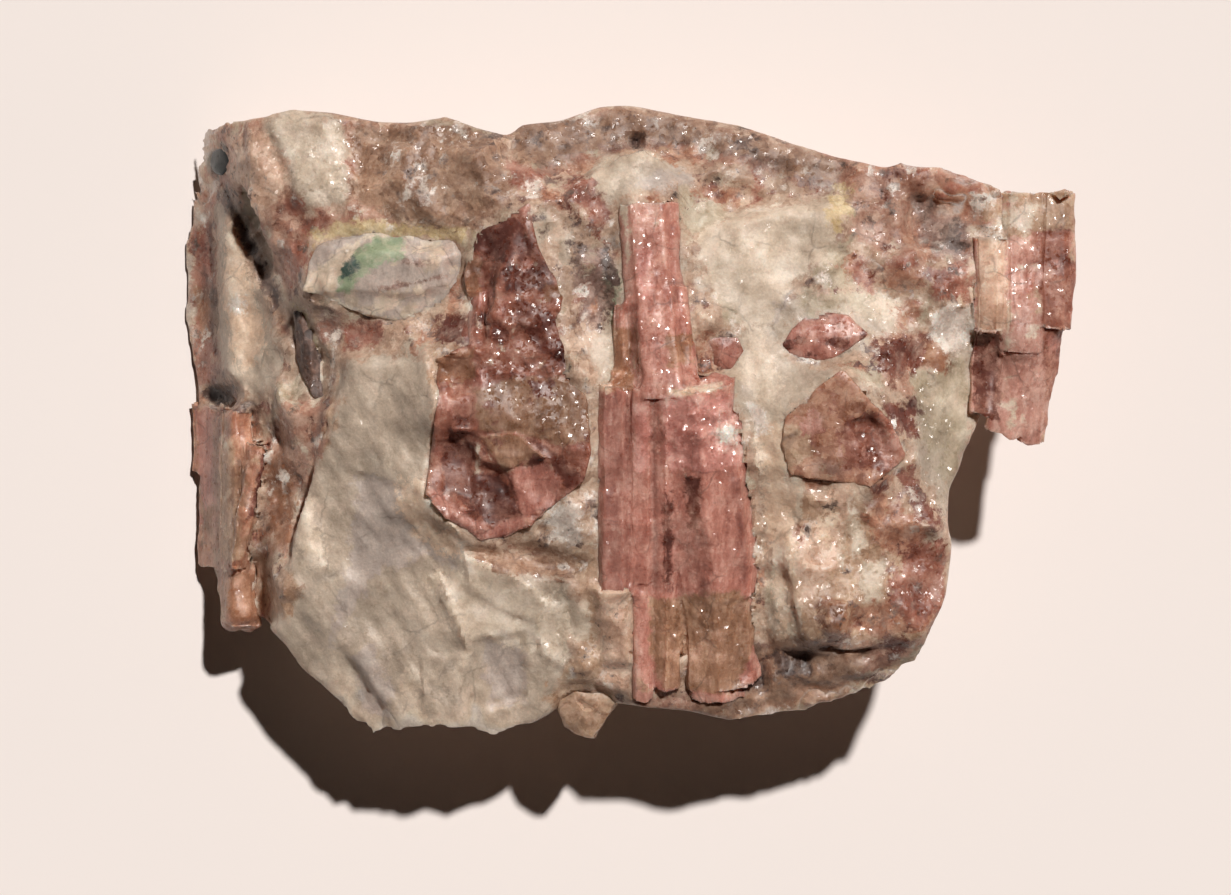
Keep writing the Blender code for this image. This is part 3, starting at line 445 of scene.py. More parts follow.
def stoneColour(tree, base, present, look, patterns):
    place, warped = patterns["place"], patterns["warped"]
    ragged = ranged(tree, noise(tree, place, 1.1, 7.0, 0.78), 0.25, 0.75, -0.9, 0.9)
    ragged = calc(tree, "MULTIPLY_ADD", patterns["cellChance"], 0.5, calc(tree, "SUBTRACT", ragged, 0.25))
    ragged = calc(tree, "MULTIPLY", ragged, look["ragged"])
    colour = mineralRamp(tree, base, patterns)
    for mineral in present:
        edge = calc(tree, "ADD", fieldNode(tree, mineral), ragged)
        mask = ranged(tree, edge, -look["blur"], look["blur"], smooth=True)
        colour = mixColour(tree, mask, colour, mineralRamp(tree, mineral, patterns))
    # pale flecks, partly painted glints
    flecks = ranged(tree, noise(tree, place, 1.9, 4.0, 0.75), 0.6, 0.72, 0.0, look["flecks"])
    colour = mixColour(tree, flecks, colour, asLinear(look["fleckColour"]))
    veil = ranged(tree, noise(tree, warped, 0.8, 5.0, 0.7), 0.5, 0.72, 0.0, look["veil"])
    colour = mixColour(tree, veil, colour, asLinear(look["veilColour"]))
    lively = ranged(tree, patterns["sparkle"], 0.22, 0.42, 0.25, 1.0)
    specks = ranged(tree, noise(tree, warped, 1.2, 6.0, 0.75), 0.6, 0.7, 0.0, look["specks"])
    colour = mixColour(tree, calc(tree, "MULTIPLY", specks, lively), colour, asLinear(look["speckColour"]))
    cracks = addNode(tree, "ShaderNodeTexVoronoi", {"Vector": warped, "Scale": look["crackScale"]},
                     feature="DISTANCE_TO_EDGE").outputs["Distance"]
    cracks = ranged(tree, cracks, 0.0, 0.035, look["cracks"], 0.0)
    patchy = ranged(tree, noise(tree, place, 0.35, 2.0), 0.45, 0.62)
    colour = mixColour(tree, calc(tree, "MULTIPLY", cracks, patchy), colour, asLinear(look["crackColour"]))
    gain = look["gain"]
    bright = ranged(tree, noise(tree, place, 6.0, 4.0, 0.7), 0.3, 0.7, 0.87 * gain, 1.11 * gain)
    broad = ranged(tree, noise(tree, place, 0.22, 3.0), 0.35, 0.65, 0.88, 1.1)
    colour = vectorCalc(tree, "SCALE", colour, scale=calc(tree, "MULTIPLY", bright, broad))
    # painted shade last, towards the dark shade colour
    return mixColour(tree, fieldNode(tree, "shade"), colour, asLinear(look["shadeColour"]))


def stoneSurface(tree, look, patterns):  # its roughness, and how its small flakes face
    place, sparkle = patterns["place"], patterns["sparkle"]
    shaken = vectorCalc(tree, "SCALE", noise(tree, place, 4.0, 2.0, output=1), scale=0.35)
    shaken = vectorCalc(tree, "ADD", place, shaken)
    glints = addNode(tree, "ShaderNodeTexVoronoi", {"Vector": shaken, "Scale": look["glintScale"]})
    glintParts = addNode(tree, "ShaderNodeSeparateColor", {0: glints.outputs["Color"]})
    roughness = ranged(tree, fieldNode(tree, "gloss"), 0.0, 1.0, 0.7, look["polish"])
    roughness = calc(tree, "ADD", roughness, ranged(tree, patterns["fine"], 0.3, 0.7, -0.08, 0.08))
    flake = ranged(tree, calc(tree, "MULTIPLY_ADD", sparkle, 0.5, glintParts.outputs[2]), 1.05, 1.12)
    roughness = mixValue(tree, flake, roughness, 0.17)
    turn = vectorCalc(tree, "SUBTRACT", glints.outputs["Color"], (0.5,) * 3)
    tilt = calc(tree, "MULTIPLY", sparkle, calc(tree, "MULTIPLY_ADD", flake, 1.3, 0.12))
    turn = vectorCalc(tree, "SCALE", turn, scale=tilt)
    facing = addNode(tree, "ShaderNodeNewGeometry").outputs["Normal"]
    facing = vectorCalc(tree, "NORMALIZE", vectorCalc(tree, "ADD", facing, turn))
    rough = calc(tree, "MULTIPLY_ADD", patterns["cellDistance"], 0.5, patterns["fine"])
    rough = calc(tree, "MULTIPLY_ADD", patterns["streak"], look["streakBump"], rough)
    bump = addNode(tree, "ShaderNodeBump", {"Strength": look["bump"], "Distance": 0.12 * mm,
                                            "Height": rough, "Normal": facing})
    return roughness, bump.outputs[0]


def mineralMaterial(facts, present):
    look = {name: facts.get(name, usual) for name, usual in stoneLook.items()}
    material = bpy.data.materials.new(facts["piece"] + "Stone")
    material.use_nodes = True
    tree = material.node_tree
    shader = tree.nodes["Principled BSDF"]
    patterns = stonePatterns(tree, look)
    colour = stoneColour(tree, facts["base"], present, look, patterns)
    roughness, normal = stoneSurface(tree, look, patterns)
    tree.links.new(colour, shader.inputs["Base Color"])
    tree.links.new(roughness, shader.inputs["Roughness"])
    tree.links.new(normal, shader.inputs["Normal"])
    shader.inputs["IOR"].default_value = 1.6
    shader.inputs["Specular IOR Level"].default_value = look["shine"]
    shader.inputs["Subsurface Weight"].default_value = look["softness"]
    shader.inputs["Subsurface Radius"].default_value = (1.0, 0.75, 0.65)
    shader.inputs["Subsurface Scale"].default_value = 1.1 * mm
    return material


def paintFields(piece, facts, below=None):  # where each mineral lies, and how glossy and sparkling it is
    points = pointsOf(piece)
    flat = points[:, :2]
    patches = facts["minerals"]
    scatter = facts.get("scatter", {})
    deep = facts.get("deep", {})
    quiet = smoothStep(insideAny(flat, patches.get("feldspar", ()) + patches.get("cream", ())), -0.3, 0.4)
    gloss, sparkle = (np.full(len(points), level) for level in minerals[facts["base"]][2:])
    present = []
    for mineral in minerals:
        if mineral not in patches and mineral not in scatter:
            continue
        field = insideAny(flat, patches.get(mineral, ()))
        if mineral in scatter:  # small lumps of it lie all about, hardly any in the plain minerals
            field = np.maximum(field, lumps(points, *scatter[mineral], 2) - 1.6 * quiet)
        if below is not None:  # away from the top the minerals lie in lumps of their own
            buried = lumps(points, *deep[mineral], 3) if mineral in deep else farOutside
            share = smoothStep(below, 0.6, 3.2)
            field = field * (1.0 - share) + buried * share
        if field.max() > -0.4:
            setField(piece, mineral, np.clip(field, farOutside, -farOutside))
            present.append(mineral)
            share = smoothStep(field, -0.3, 0.3)
            gloss += (minerals[mineral][2] - gloss) * share
            sparkle += (minerals[mineral][3] - sparkle) * share
    for level, outline in facts.get("zones", ()):
        share = shareInside(flat, outline, 0.5)
        sparkle += (level - sparkle) * share
        gloss += (0.8 - gloss) * 0.4 * share
    # painted shade from each piece's shades, in grooves, hollows, pits and cracks
    shade = np.zeros(len(points))
    for level, soft, outline in facts.get("shades", ()):
        shade = np.maximum(shade, level * shareInside(flat, outline, soft))
    setField(piece, "gloss", gloss)
    setField(piece, "sparkle", sparkle)
    setField(piece, "shade", shade)
    return present


gridStep = 0.2  # the heights of the rock and the crystals are measured on a grid seen from above
gridX = np.arange(cadBox[0].x / mm - 0.6, cadBox[1].x / mm + 0.8, gridStep)
gridY = np.arange(cadBox[0].y / mm - 0.6, cadBox[1].y / mm + 0.8, gridStep)
farDown = -50.0
farUp = 40.0


def castHeights(tree, low, high, upwards=False):  # first surface seen from above, or from below
    heights = np.full((len(gridX), len(gridY)), np.nan)
    start = -1.0 if upwards else farUp
    way = Vector((0, 0, 1.0 if upwards else -1.0))
    for column in np.flatnonzero((gridX >= low[0]) & (gridX <= high[0])):
        for row in np.flatnonzero((gridY >= low[1]) & (gridY <= high[1])):
            hit = tree.ray_cast(Vector((gridX[column], gridY[row], start)), way)[0]
            if hit is not None:
                heights[column, row] = hit.z
    return heights


def neighbours(values):
    padded = np.pad(values, 1, mode="edge")
    return padded[:-2, 1:-1], padded[2:, 1:-1], padded[1:-1, :-2], padded[1:-1, 2:]


def grown(values, steps):  # the highest value this many cells away takes over
    for _ in range(steps):
        values = np.maximum(values, np.max(neighbours(values), axis=0))
    return values


def distanceIn(mask, most=12):  # how deep each cell lies inside the mask in mm, up to this many cells
    depth = np.zeros(mask.shape)
    for _ in range(most):
        depth += mask * gridStep
        mask = mask & np.all(neighbours(mask), axis=0)
    return depth


def fillBetween(heights, known, rounds=160):  # carry the known heights over the unknown cells
    values = np.where(known, heights, 0.0)
    reached = known.copy()
    while not reached.all():
        total = sum(neighbours(values * reached))
        count = sum(side.astype(float) for side in neighbours(reached))
        fresh = ~reached & (count > 0)
        values[fresh] = total[fresh] / count[fresh]
        reached |= fresh
    for _ in range(rounds):
        values = np.where(known, values, sum(neighbours(values)) / 4.0)
    return values


def sample(grid, flat):  # the grid's value at points between its cells
    column = np.clip((flat[:, 0] - gridX[0]) / gridStep, 0, len(gridX) - 1.001)
    row = np.clip((flat[:, 1] - gridY[0]) / gridStep, 0, len(gridY) - 1.001)
    left, down = column.astype(int), row.astype(int)
    across, up = column - left, row - down
    lower = grid[left, down] * (1 - across) + grid[left + 1, down] * across
    upper = grid[left, down + 1] * (1 - across) + grid[left + 1, down + 1] * across
    return lower * (1 - up) + upper * up


standing = {
    "free": ("end_crystals", "edge_crystals", "tip_crystal"),  # they stick out beyond the rock
    "flush": ("central_crystal", "left_crystal", "block_crystal"),  # their edges lie level with the rock
    "soft": ("left_crystal", "block_crystal", "pink_crystal", "heart_crystal"),  # it rises gently to them
}
meeting = {  # how the rock and the crystals come together
    "edgeCells": 5,  # cells that a flush crystal's edge looks round for a higher one
    "edgeLift": 0.6,  # share of that height that the edge is lifted
    "edgeFade": (0.5, 1.5),
    "seatReach": 2.0,
    "seatGap": 0.3,
    "newGround": 6,  # cells round the crystals where the rock's top is laid anew
    "newGroundSoft": 20,
    "highest": 0.15,  # how far below a crystal's top the rock meets it
    "lowest": 0.25,
    "lowestSoft": 0.17,
}
rockNode = copyOfNode("matrix", "rock")
rockTree = treeOf(rockNode)
rockTop = castHeights(rockTree, (gridX[0], gridY[0]), (gridX[-1], gridY[-1]))
crystalTop = np.full(rockTop.shape, -np.inf)
crystalUnder = np.full(rockTop.shape, np.inf)
cells = {kind: np.zeros(rockTop.shape, bool) for kind in standing}
for nodeName in sorted(set(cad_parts) - {"matrix"}):
    low, high = (np.array(corner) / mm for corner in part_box(nodeName))
    tree = treeOf(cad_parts[nodeName])
    heights = castHeights(tree, low, high)
    crystalTop = np.fmax(crystalTop, heights)
    crystalUnder = np.fmin(crystalUnder, castHeights(tree, low, high, upwards=True))
    for kind, nodeNames in standing.items():
        if nodeName in nodeNames:
            cells[kind] |= np.isfinite(heights)
footprint = np.isfinite(crystalTop)
footprintDepth = distanceIn(footprint)
edgeTop = grown(np.where(footprint, crystalTop, farDown), meeting["edgeCells"])
edgeLift = np.where(cells["flush"], edgeTop - crystalTop, 0.0)
edgeLift *= meeting["edgeLift"] * (1.0 - smoothStep(footprintDepth, *meeting["edgeFade"]))
crystalTop = crystalTop + edgeLift
edgeLift = fillBetween(edgeLift, footprint, 4)
crystalBelow = fillBetween(np.where(footprint, crystalUnder, 0.0), footprint, 20)
crystalDistance = distanceIn(~footprint)
seatCells = (crystalDistance < meeting["seatReach"]) & (rockTop < crystalBelow + meeting["seatGap"])
newGround = grown(footprint | seatCells, meeting["newGround"])
newGround |= grown(cells["soft"], meeting["newGroundSoft"])
openRock = np.isfinite(rockTop) & ~newGround
carried = fillBetween(np.nan_to_num(rockTop), openRock)
middleHeight = np.where(footprint, 0.5 * (crystalTop + crystalUnder), 0.0)
highestContact = np.where(footprint, crystalTop - meeting["highest"], 0.0)
lowestContact = crystalTop - np.where(cells["soft"], meeting["lowestSoft"], meeting["lowest"])
lowestContact = np.where(footprint & ~cells["free"], lowestContact, middleHeight)
contact = np.clip(carried, lowestContact, np.maximum(lowestContact, highestContact))
carried = fillBetween(np.where(footprint, contact, carried), openRock | footprint)
rimDepth = distanceIn(np.isfinite(rockTop))
print("heights measured:", rockTop.size, "cells")


hollow = (  # shared by the rock and the left crystal: height, softness of the edge, outline
    -0.8, 1.6,
    ((-15.2, -1.1), (-12.2, 0.3), (-5.2, -1.1), (-3.4, -4.8), (-6.5, -8.2), (-11.5, -9.2), (-14.8, -6.5)),
)
rock = {
    "piece": "rock", "slot": "feldspar_rock", "base": "granite", "faceSize": 0.28, "smoothAngle": 38,
    "longestEdge": 0.65,  # in the top before it is laid
    "chips": ((3.4, 0.32, 0.45), (1.5, 0.26, 0.4), (0.75, 0.24, 0.4)),  # size, height on top, on the flanks
    "cleavage": 0.17,
    "fadeAtCrystals": 0.7,
    "smoothRim": (0.7, 8),  # how wide, how many times
    "lean": {"most": 0.8, "right": (20.5, 23.6), "start": (8.8, 10.8), "end": (15.6, 16.8)},
    "litLeft": (1.5, (26.0, 28.0)),  # the falling left end keeps the top's colours: how deep, from where
    "warp": 0.9, "cloudScale": 0.42, "grainScale": 1.25, "streakTurn": (0, 0, -1.0),
    "streakSize": (3.2, 0.7, 1.2), "ragged": 0.95, "blur": 0.26, "flecks": 0.4,
    "fleckColour": (232, 214, 196), "veil": 0.35, "veilColour": (226, 202, 184), "specks": 0.34,
    "crackScale": 0.3, "cracks": 0.32, "glintScale": 4.6, "bump": 0.4, "softness": 0.5, "gain": 1.06,
    "deep": {  # lumps in the flanks: size, how rare, salt
        "feldspar": (8.0, 0.0, 71), "rust": (6.0, 0.12, 72), "olive": (5.0, 0.25, 73),
        "tan": (4.0, 0.2, 74), "brick": (3.0, 0.42, 75), "wine": (3.0, 0.5, 76),
    },
    "scatter": {  # lumps all over it: size, how rare, salt
        "feldspar": (2.6, 0.42, 81), "rust": (2.2, 0.45, 82), "cream": (1.8, 0.5, 83),
        "brick": (1.5, 0.56, 84), "wine": (1.1, 0.62, 85), "olive": (2.0, 0.55, 86),
        # the brightest lumps on the next line are painted glints
        "dark": (0.9, 0.74, 87), "whiteAndPaintedGlint": (1.2, 0.62, 88), "salmon": (1.9, 0.5, 89),
    },
    "minerals": {
        "feldspar": (
            ((-18.5, 4.2), (-14.8, 4.5), (-12.7, 4), (-12.6, 1.5), (-12.8, -1.1), (-13.2, -3.8),
             (-13.2, -5), (-12.2, -6), (-10.8, -7.5), (-9.5, -8.5), (-6.8, -9.2), (-3.8, -10),
             (-3.2, -11.8), (-3.5, -15.8), (-4.2, -18.5), (-4.6, -19.9), (-6.2, -20.4), (-7.5, -20.9),
             (-8.5, -21.3), (-9.8, -21), (-12.2, -20.7), (-14.8, -21), (-16.8, -21.3), (-17.8, -20.5),
             (-20, -18.5), (-21.5, -17), (-24, -13.5), (-22.7, -11.8), (-21.5, -11.2), (-22.7, -9.5),
             (-22, -5.8), (-21.2, -3.8), (-20.3, -2.1), (-19.8, -0.5), (-19.2, 1.9)),
            ((-27.8, 14.8), (-27.2, 14.8), (-26.3, 12.5), (-25.2, 10.2), (-24, 7.5), (-22.8, 3.9),
             (-23.6, 2.5), (-24.3, 1.7), (-25.2, 1.9), (-27.2, 3.9), (-27.7, 5.2), (-27.8, 7.5),
             (-27.4, 8.8), (-27.8, 11.5), (-27.5, 12.8)),
            ((-24, 20.7), (-21.5, 21), (-18.8, 20.3), (-18.3, 19.2), (-18, 15.8), (-18.5, 14.5),
             (-20.8, 14.3), (-22.2, 15.8), (-22.5, 17.5), (-24, 19.5)),
            ((-2.6, 16.2), (-1.2, 17.7), (1.2, 18.2), (3.8, 17.2), (4.5, 16.2), (1.2, 15.2),
             (-0.2, 14.7), (-0.7, 14), (-1.5, 14.8)),
            ((8, 6.2), (10.5, 8.2), (11.8, 8.8), (15.2, 8.2), (16.5, 8.2), (18.5, 6.5), (17.5, 5.2),
             (16.2, 5.8), (14.8, 7), (13.2, 7.3), (11.2, 6.2), (10.5, 5.2), (11.2, 3.9), (12.8, 3.6),
             (14.4, 3.6), (11.8, 1.5), (10.6, 0.2), (10.4, -1.8), (11.5, -3.8), (11.2, -6.5),
             (11.5, -11.8), (11.8, -14.5), (9.8, -14.8), (9.5, -9.2), (9, -3.1), (8, 0.8), (6.8, 2.2)),
            ((18.8, 4.2), (20.2, 6.2), (21.5, 7.8), (23.3, 7.5), (23.3, -1.1), (21.8, -4.2),
             (21.5, -7.2), (20.8, -5.2), (19.5, -2.5), (19, 0.8)),
            ((-4.5, 12.2), (-3.2, 12.5), (-3.4, 10.2), (-4.2, 10.7)),
            ((-1.6, 10.5), (0, 10.7), (0.4, 6.2), (-0.7, 3.2), (-1.5, 2.5), (-2.2, 4.8), (-1.4, 6.2)),
            ((-27.2, 8.2), (-25.2, 7.8), (-25.5, 5.2), (-27, 5.2)),
        ),
        "lavender": (
            ((-18.1, -3.7), (-16, -3.7), (-13.2, -4.8), (-12.2, -6), (-10.6, -8.3), (-11.2, -9.9),
             (-13.2, -8.8), (-16, -9.9), (-18.1, -12.4), (-19.4, -15), (-19.6, -14), (-18.6, -9.9),
             (-17.8, -6)),
            ((0.2, 15.8), (1.5, 16.3), (3, 17), (4.5, 16.7), (4.5, 15.9), (1.8, 15.2)),
            ((8.2, 10), (10.6, 10.3), (11.2, 8.2), (10.2, 6.5), (8.5, 6.8)),
            ((-1.5, 12.4), (-0.3, 12.4), (-0.3, 11.5), (-1.4, 11.5)),
            ((-9.4, -14.1), (-6.6, -14), (-6.4, -18.5), (-8.8, -19.1)),
            ((-18, -15.5), (-16.7, -15.2), (-15.1, -18.8), (-16.2, -19.9), (-17.5, -18.5)),
        ),
        "tan": (
            ((-3.5, -8.2), (-1.5, -8.3), (0.2, -9.2), (0.6, -11.8), (0.6, -15.2), (-0.5, -18.5),
             (-1.8, -17.8), (-3.2, -18.5), (-4.2, -19.8), (-5.2, -18.5), (-3.4, -15.8), (-2.8, -12.5)),
            ((9.8, -4.2), (14.5, -4.8), (18.5, -5.2), (20.5, -9.2), (21.5, -13.2), (20.2, -15.2),
             (16.5, -14.5), (11.8, -14.8), (11.2, -11.8), (11.5, -7.8)),
            ((1.2, 20.3), (5.2, 18.9), (5.5, 17.2), (2.5, 17.5), (-0.8, 18.2), (-1.5, 19.5)),
            ((-12.8, 5.2), (-10.2, 5.2), (-9.8, 1.5), (-12.2, 1.5), (-12.6, 3)),
            ((-22.2, 1.9), (-18.8, 1.5), (-19.5, -1.1), (-21.5, -3.8), (-22.3, -2.1)),
            ((17.2, 11.2), (22.5, 10.2), (22.8, 8.2), (18.5, 8.5)),
            ((22.5, 14.8), (25.2, 14.5), (25.2, 12.2), (23.5, 10.8), (22.2, 12.5)),
            ((-24, -11.8), (-22.5, -10.2), (-21.5, -11.8), (-22.8, -13.2)),
        ),
        "rust": (
            ((-28.2, 19.7), (-26.5, 20.2), (-24, 20.6), (-24.2, 19.5), (-22.6, 17.5), (-22.3, 15.8),
             (-21.5, 14.2), (-18.5, 14.3), (-17.9, 15.8), (-18, 17.9), (-15.2, 17.5), (-15.2, 13.8),
             (-16.5, 13), (-19.2, 12.2), (-20.7, 12), (-21.3, 10.7), (-22.4, 8.2), (-23.4, 9.5),
             (-24.4, 12.2), (-25.5, 13.8), (-26.7, 15.5), (-28.2, 16.7)),
            ((-18.8, 20.2), (-14.8, 20.1), (-10.2, 19.9), (-7.8, 18.9), (-7.6, 14.8), (-10.2, 12.8),
             (-13.2, 13.4), (-13.2, 17.5), (-18, 17.9), (-18.5, 19.2)),
            ((-29.2, 13.8), (-28.7, 15.5), (-28.2, 15.2), (-27.8, 8.8), (-27.8, 5.5), (-27.2, 3.5),
             (-28, 2.5), (-28.7, 4.2), (-29.3, 5.8), (-29.2, 10.2)),
            ((-24, -1.1), (-22.8, 1.9), (-20, 1.9), (-19.8, 0.2), (-20.3, -2.1), (-21.5, -4.2),
             (-22.2, -6.2), (-22.6, -9.2), (-24, -9.2)),
            ((-7.8, 19.9), (-1.5, 21.1), (5.2, 20.3), (11.8, 18.4), (18.8, 17.4), (24.5, 16),
             (24.2, 13.8), (22.5, 10.7), (18.5, 10.7), (14.8, 12.5), (15.2, 14.5), (14.5, 15.8),
             (11.8, 15.5), (9.2, 16.9), (5.2, 17.2), (1.8, 18.3), (-1.5, 17.9), (-2.6, 16.5),
             (-4.2, 16.2), (-6.2, 14.8), (-7.5, 16.2)),
            ((16.8, 5.8), (20.5, 6.2), (21.8, 4.2), (21.5, 1.9), (18.8, 1.5), (17.2, 2.5), (16.4, 4.2)),
            ((7.5, -14.5), (20.5, -14.5), (20.2, -15.8), (17.2, -17.8), (11.8, -19.8), (5.2, -19.5),
             (-0.2, -19.3), (1.2, -18.5), (7.5, -18.1)),
            ((22, -0.1), (24.2, -0.1), (23.5, -1.8), (22.4, -3.7), (21.8, -3.4)),
        ),
        "mauve": (
            ((-7.5, 20.1), (-4.2, 20.2), (0.5, 21.1), (5.2, 20.2), (11.8, 18.2), (14.5, 17.5),
             (14.2, 15.5), (11.8, 15.8), (9.2, 17.2), (5.2, 18.2), (1.2, 18.3), (-2.2, 17.9),
             (-5.5, 16.9), (-7.4, 17.2)),
            ((-20.7, 8), (-18.5, 7.4), (-18.6, 5.2), (-20.3, 5.5)),
            ((-3.2, 11.8), (-0.8, 11.8), (-0.3, 8.8), (-1.5, 6.3), (-2.8, 6.7), (-3.4, 9.5)),
            ((7.5, -14.8), (11.8, -14.5), (16.5, -15.2), (15.2, -18.5), (9.8, -19.5), (5.2, -19.3),
             (6.5, -17.8)),
            ((19.2, 15.2), (21.2, 15.2), (23.5, 12.2), (23, 10.5), (20.8, 11), (19.5, 13.2)),
        ),
        "olive": (
            ((3.8, 15.5), (6.8, 15.5), (7, 13.2), (5.2, 12.4), (4.5, 11.8), (4, 13.2)),
            ((6, 9.5), (8.2, 9.7), (8.3, 6.8), (7.2, 6.3), (6, 7.8)),
            ((13.2, 12.2), (15.2, 12.5), (15.8, 8.8), (13.8, 8.7), (12.6, 9.8)),
            ((11.8, 8.8), (16.5, 8.8), (18.5, 8.2), (18.5, 6.3), (15.2, 7.4), (11.8, 7.4)),
            ((14.5, 4.2), (17.2, 4.2), (17.3, 1.9), (14.8, 3.4)),
            ((18.8, 3.5), (19.5, 0.8), (20.8, -3.1), (21.8, -4.5), (23, -1.9), (23.3, 1.5), (22.8, 4.2),
             (20.5, 3.9)),
            ((-7.5, 19.2), (-5.2, 19.7), (-4.2, 17.9), (-6.2, 16.5), (-7.4, 17.5)),
            ((-13.5, 20.3), (-10.2, 20.2), (-8.2, 19.5), (-8.5, 18.7), (-12.8, 18.9)),
            ((5.2, -18.1), (9.2, -17.9), (11.8, -18.5), (9.8, -19.5), (5.2, -19.3)),
            ((9.4, -9.2), (10.6, -9.2), (10.8, -11.8), (9.7, -11.8)),
            ((12.8, -17.1), (17.2, -16.6), (20.5, -14.5), (20.2, -16.3), (17.2, -18.1), (11.8, -19.5),
             (5.2, -19.7), (5.2, -18.5), (9.8, -18.5)),
        ),
        "cream": (
            ((4.5, 11.8), (5.5, 13.2), (7.2, 13.8), (11.2, 14.7), (15.2, 14.5), (14.8, 13.2),
             (12.8, 10.5), (10.5, 8.2), (9.8, 6.5), (8.2, 6.2), (6.5, 8.2), (5.2, 10.2)),
            ((-2.6, 16.1), (-1.2, 17.5), (1.2, 18.1), (2.5, 17.7), (0.2, 16.2), (-1.5, 14.8)),
            ((6.8, 4.5), (8.5, 4.8), (9.2, 3.4), (8.2, 2.5), (7, 3)),
            ((0, 10.7), (0.6, 6.2), (0, 2.5), (-0.8, 2.5), (-0.7, 6.2), (-0.3, 8.8)),
            ((-22.5, 8.7), (-21.5, 8.2), (-20.2, 4.2), (-20.3, 2.5), (-21.5, 2.5), (-21.2, 4.5),
             (-22, 6.8)),
            ((-10.2, 9.8), (-9.5, 11.5), (-9.6, 8.8), (-10, 5.5), (-10.4, 6.2)),
            ((-10.6, -8.9), (-8.2, -9.2), (-5, -11.8), (-5.5, -13.5), (-8.2, -12.6), (-10.2, -11.2)),
            ((-13, -10.2), (-12.4, -10), (-10.3, -14.5), (-10.4, -15.8), (-11.2, -13.5)),
            ((-14.8, -16.8), (-13.6, -16.8), (-13.2, -20.1), (-14.2, -20.1)),
            ((-22.3, -5.2), (-20.7, -5.2), (-19.8, -9.2), (-21.5, -9.8)),
            ((-21.5, 2.9), (-20.7, 3), (-20.3, 1.5), (-21.1, 1.4)),
            ((11.8, 14.8), (14.4, 15.2), (14.9, 13.8), (13.6, 10.7), (12.2, 10.2)),
            ((-26.7, 14.5), (-26, 14), (-24, 10.7), (-22.8, 8.2), (-22.4, 8.4), (-23.8, 11.1),
             (-25.5, 13.9)),
            ((8.2, 6.5), (9.5, 6.3), (10.5, 1.5), (11.8, -6.5), (12.2, -11.8), (11.5, -14.5),
             (10.5, -14.5), (10, -9.2), (9.4, -3.1), (8.6, 0.7)),
            ((14.4, -4.4), (15.2, -4.5), (16, -8.2), (15.2, -9.2)),
            ((16.4, 8.2), (18.8, 7.8), (19.5, 6.2), (17.2, 6.7)),
            ((-4.2, -11.2), (-3.4, -11.8), (-3.6, -15.8), (-4.4, -15.2)),
            ((-5.8, -12.9), (-5, -12), (-3.9, -12.3), (-3.6, -14.5), (-4.2, -16.1), (-5.2, -15.4)),
            ((-20.3, 18.2), (-18.8, 18.2), (-18.5, 16.2), (-20, 15.9)),
            ((20.5, 7.8), (23, 7.6), (23, 5.2), (20.8, 5.5)),
            ((-22.2, 8.2), (-21.5, 8.2), (-21.2, 6.2), (-20, 1.9), (-20.4, 1.5), (-21.5, 4.8)),
            ((15.6, -8.9), (17.4, -9.2), (17.2, -12.2), (15.8, -12.1)),
            ((10.6, -3.1), (11.8, -3.8), (12.2, -6.5), (10.9, -6.6)),
            ((-9.2, -11.8), (-6.2, -12.6), (-2.2, -11.8), (-2.3, -14.2), (-5.5, -15.3), (-8.8, -14.5)),
            ((-12.2, -9.8), (-10.2, -10.2), (-6.8, -11.8), (-7.2, -14.5), (-10.2, -14.5), (-11.5, -12.5)),
            ((-24, 20.3), (-21.5, 20.7), (-19, 19.9), (-18.6, 17.5), (-18.8, 15.1), (-20.8, 14.8),
             (-22.2, 16.9), (-23.5, 18.5)),
        ),
        "salmon": (
            ((17.2, 11), (20.2, 11.2), (20.2, 8.7), (17.5, 8.8)),
            ((17.8, 7.4), (19.3, 7.5), (19.3, 6.2), (18.2, 6.2)),
            ((14.8, -12.5), (17.2, -11.8), (21.5, -11.8), (21.2, -13.8), (17.2, -14.5), (15.2, -13.8)),
            ((16, -6.2), (18.5, -5.2), (20.5, -7.5), (19.5, -9.2), (17.2, -8.6)),
            ((2.8, 18.9), (5.2, 18.5), (5, 17.4), (3, 17.5)),
            ((10.9, -6.4), (12, -6.5), (11.8, -8.3), (11, -8.2)),
            ((18.8, 8.2), (20.2, 8.2), (19.5, 6.2), (18.5, 6.3)),
        ),
        "brick": (
            ((-4.2, 16.3), (-2.2, 16.2), (-0.7, 13.8), (-1.5, 12.5), (-3.5, 14.5)),
            ((-22.8, 12.2), (-20.8, 12.2), (-21.2, 10.7), (-22.2, 8.5), (-22.8, 10.2)),
            ((-22.8, 15), (-21.6, 15), (-21.5, 13.8), (-22.6, 13.8)),
            ((-21.5, 13.8), (-19.5, 13.9), (-19.8, 12.4), (-21.2, 12.3)),
            ((-18.8, 6.7), (-16.8, 6.8), (-16.6, 5.2), (-18.7, 5)),
            ((20.8, 17), (23.5, 17.2), (23.7, 15.4), (21.2, 15.1)),
            ((20.2, 10.3), (23, 10.7), (23.2, 8.2), (20.5, 8)),
            ((17.5, 11.2), (19.5, 11.2), (19.5, 10.3), (17.5, 10.3)),
            ((-18.6, 17.7), (-15.6, 17.9), (-15.5, 16.5), (-18.2, 16.3)),
            ((18.8, -7.8), (21.5, -7.8), (21.6, -13.2), (18.8, -13.5), (17.5, -10.8), (18.5, -9.5)),
            ((-8.2, 17.7), (-6.2, 17.5), (-5.5, 15.5), (-6.8, 15.2), (-8.2, 16.3)),
            ((15.2, 10.5), (16.4, 10.7), (16.6, 9.5), (15.6, 9.2)),
            ((-21.5, 11), (-20, 11.5), (-19.5, 10.7), (-21, 10)),
            ((-18.7, 6.7), (-16.2, 6.8), (-15.9, 5.1), (-18.6, 4.8)),
            ((10.8, -6.9), (11.8, -6.9), (12, -8.6), (10.9, -8.5)),
            ((-29.5, 13.4), (-28, 13.4), (-27.7, 8.2), (-27.8, 2.5), (-29.5, 2.5)),
        ),
        "wine": (
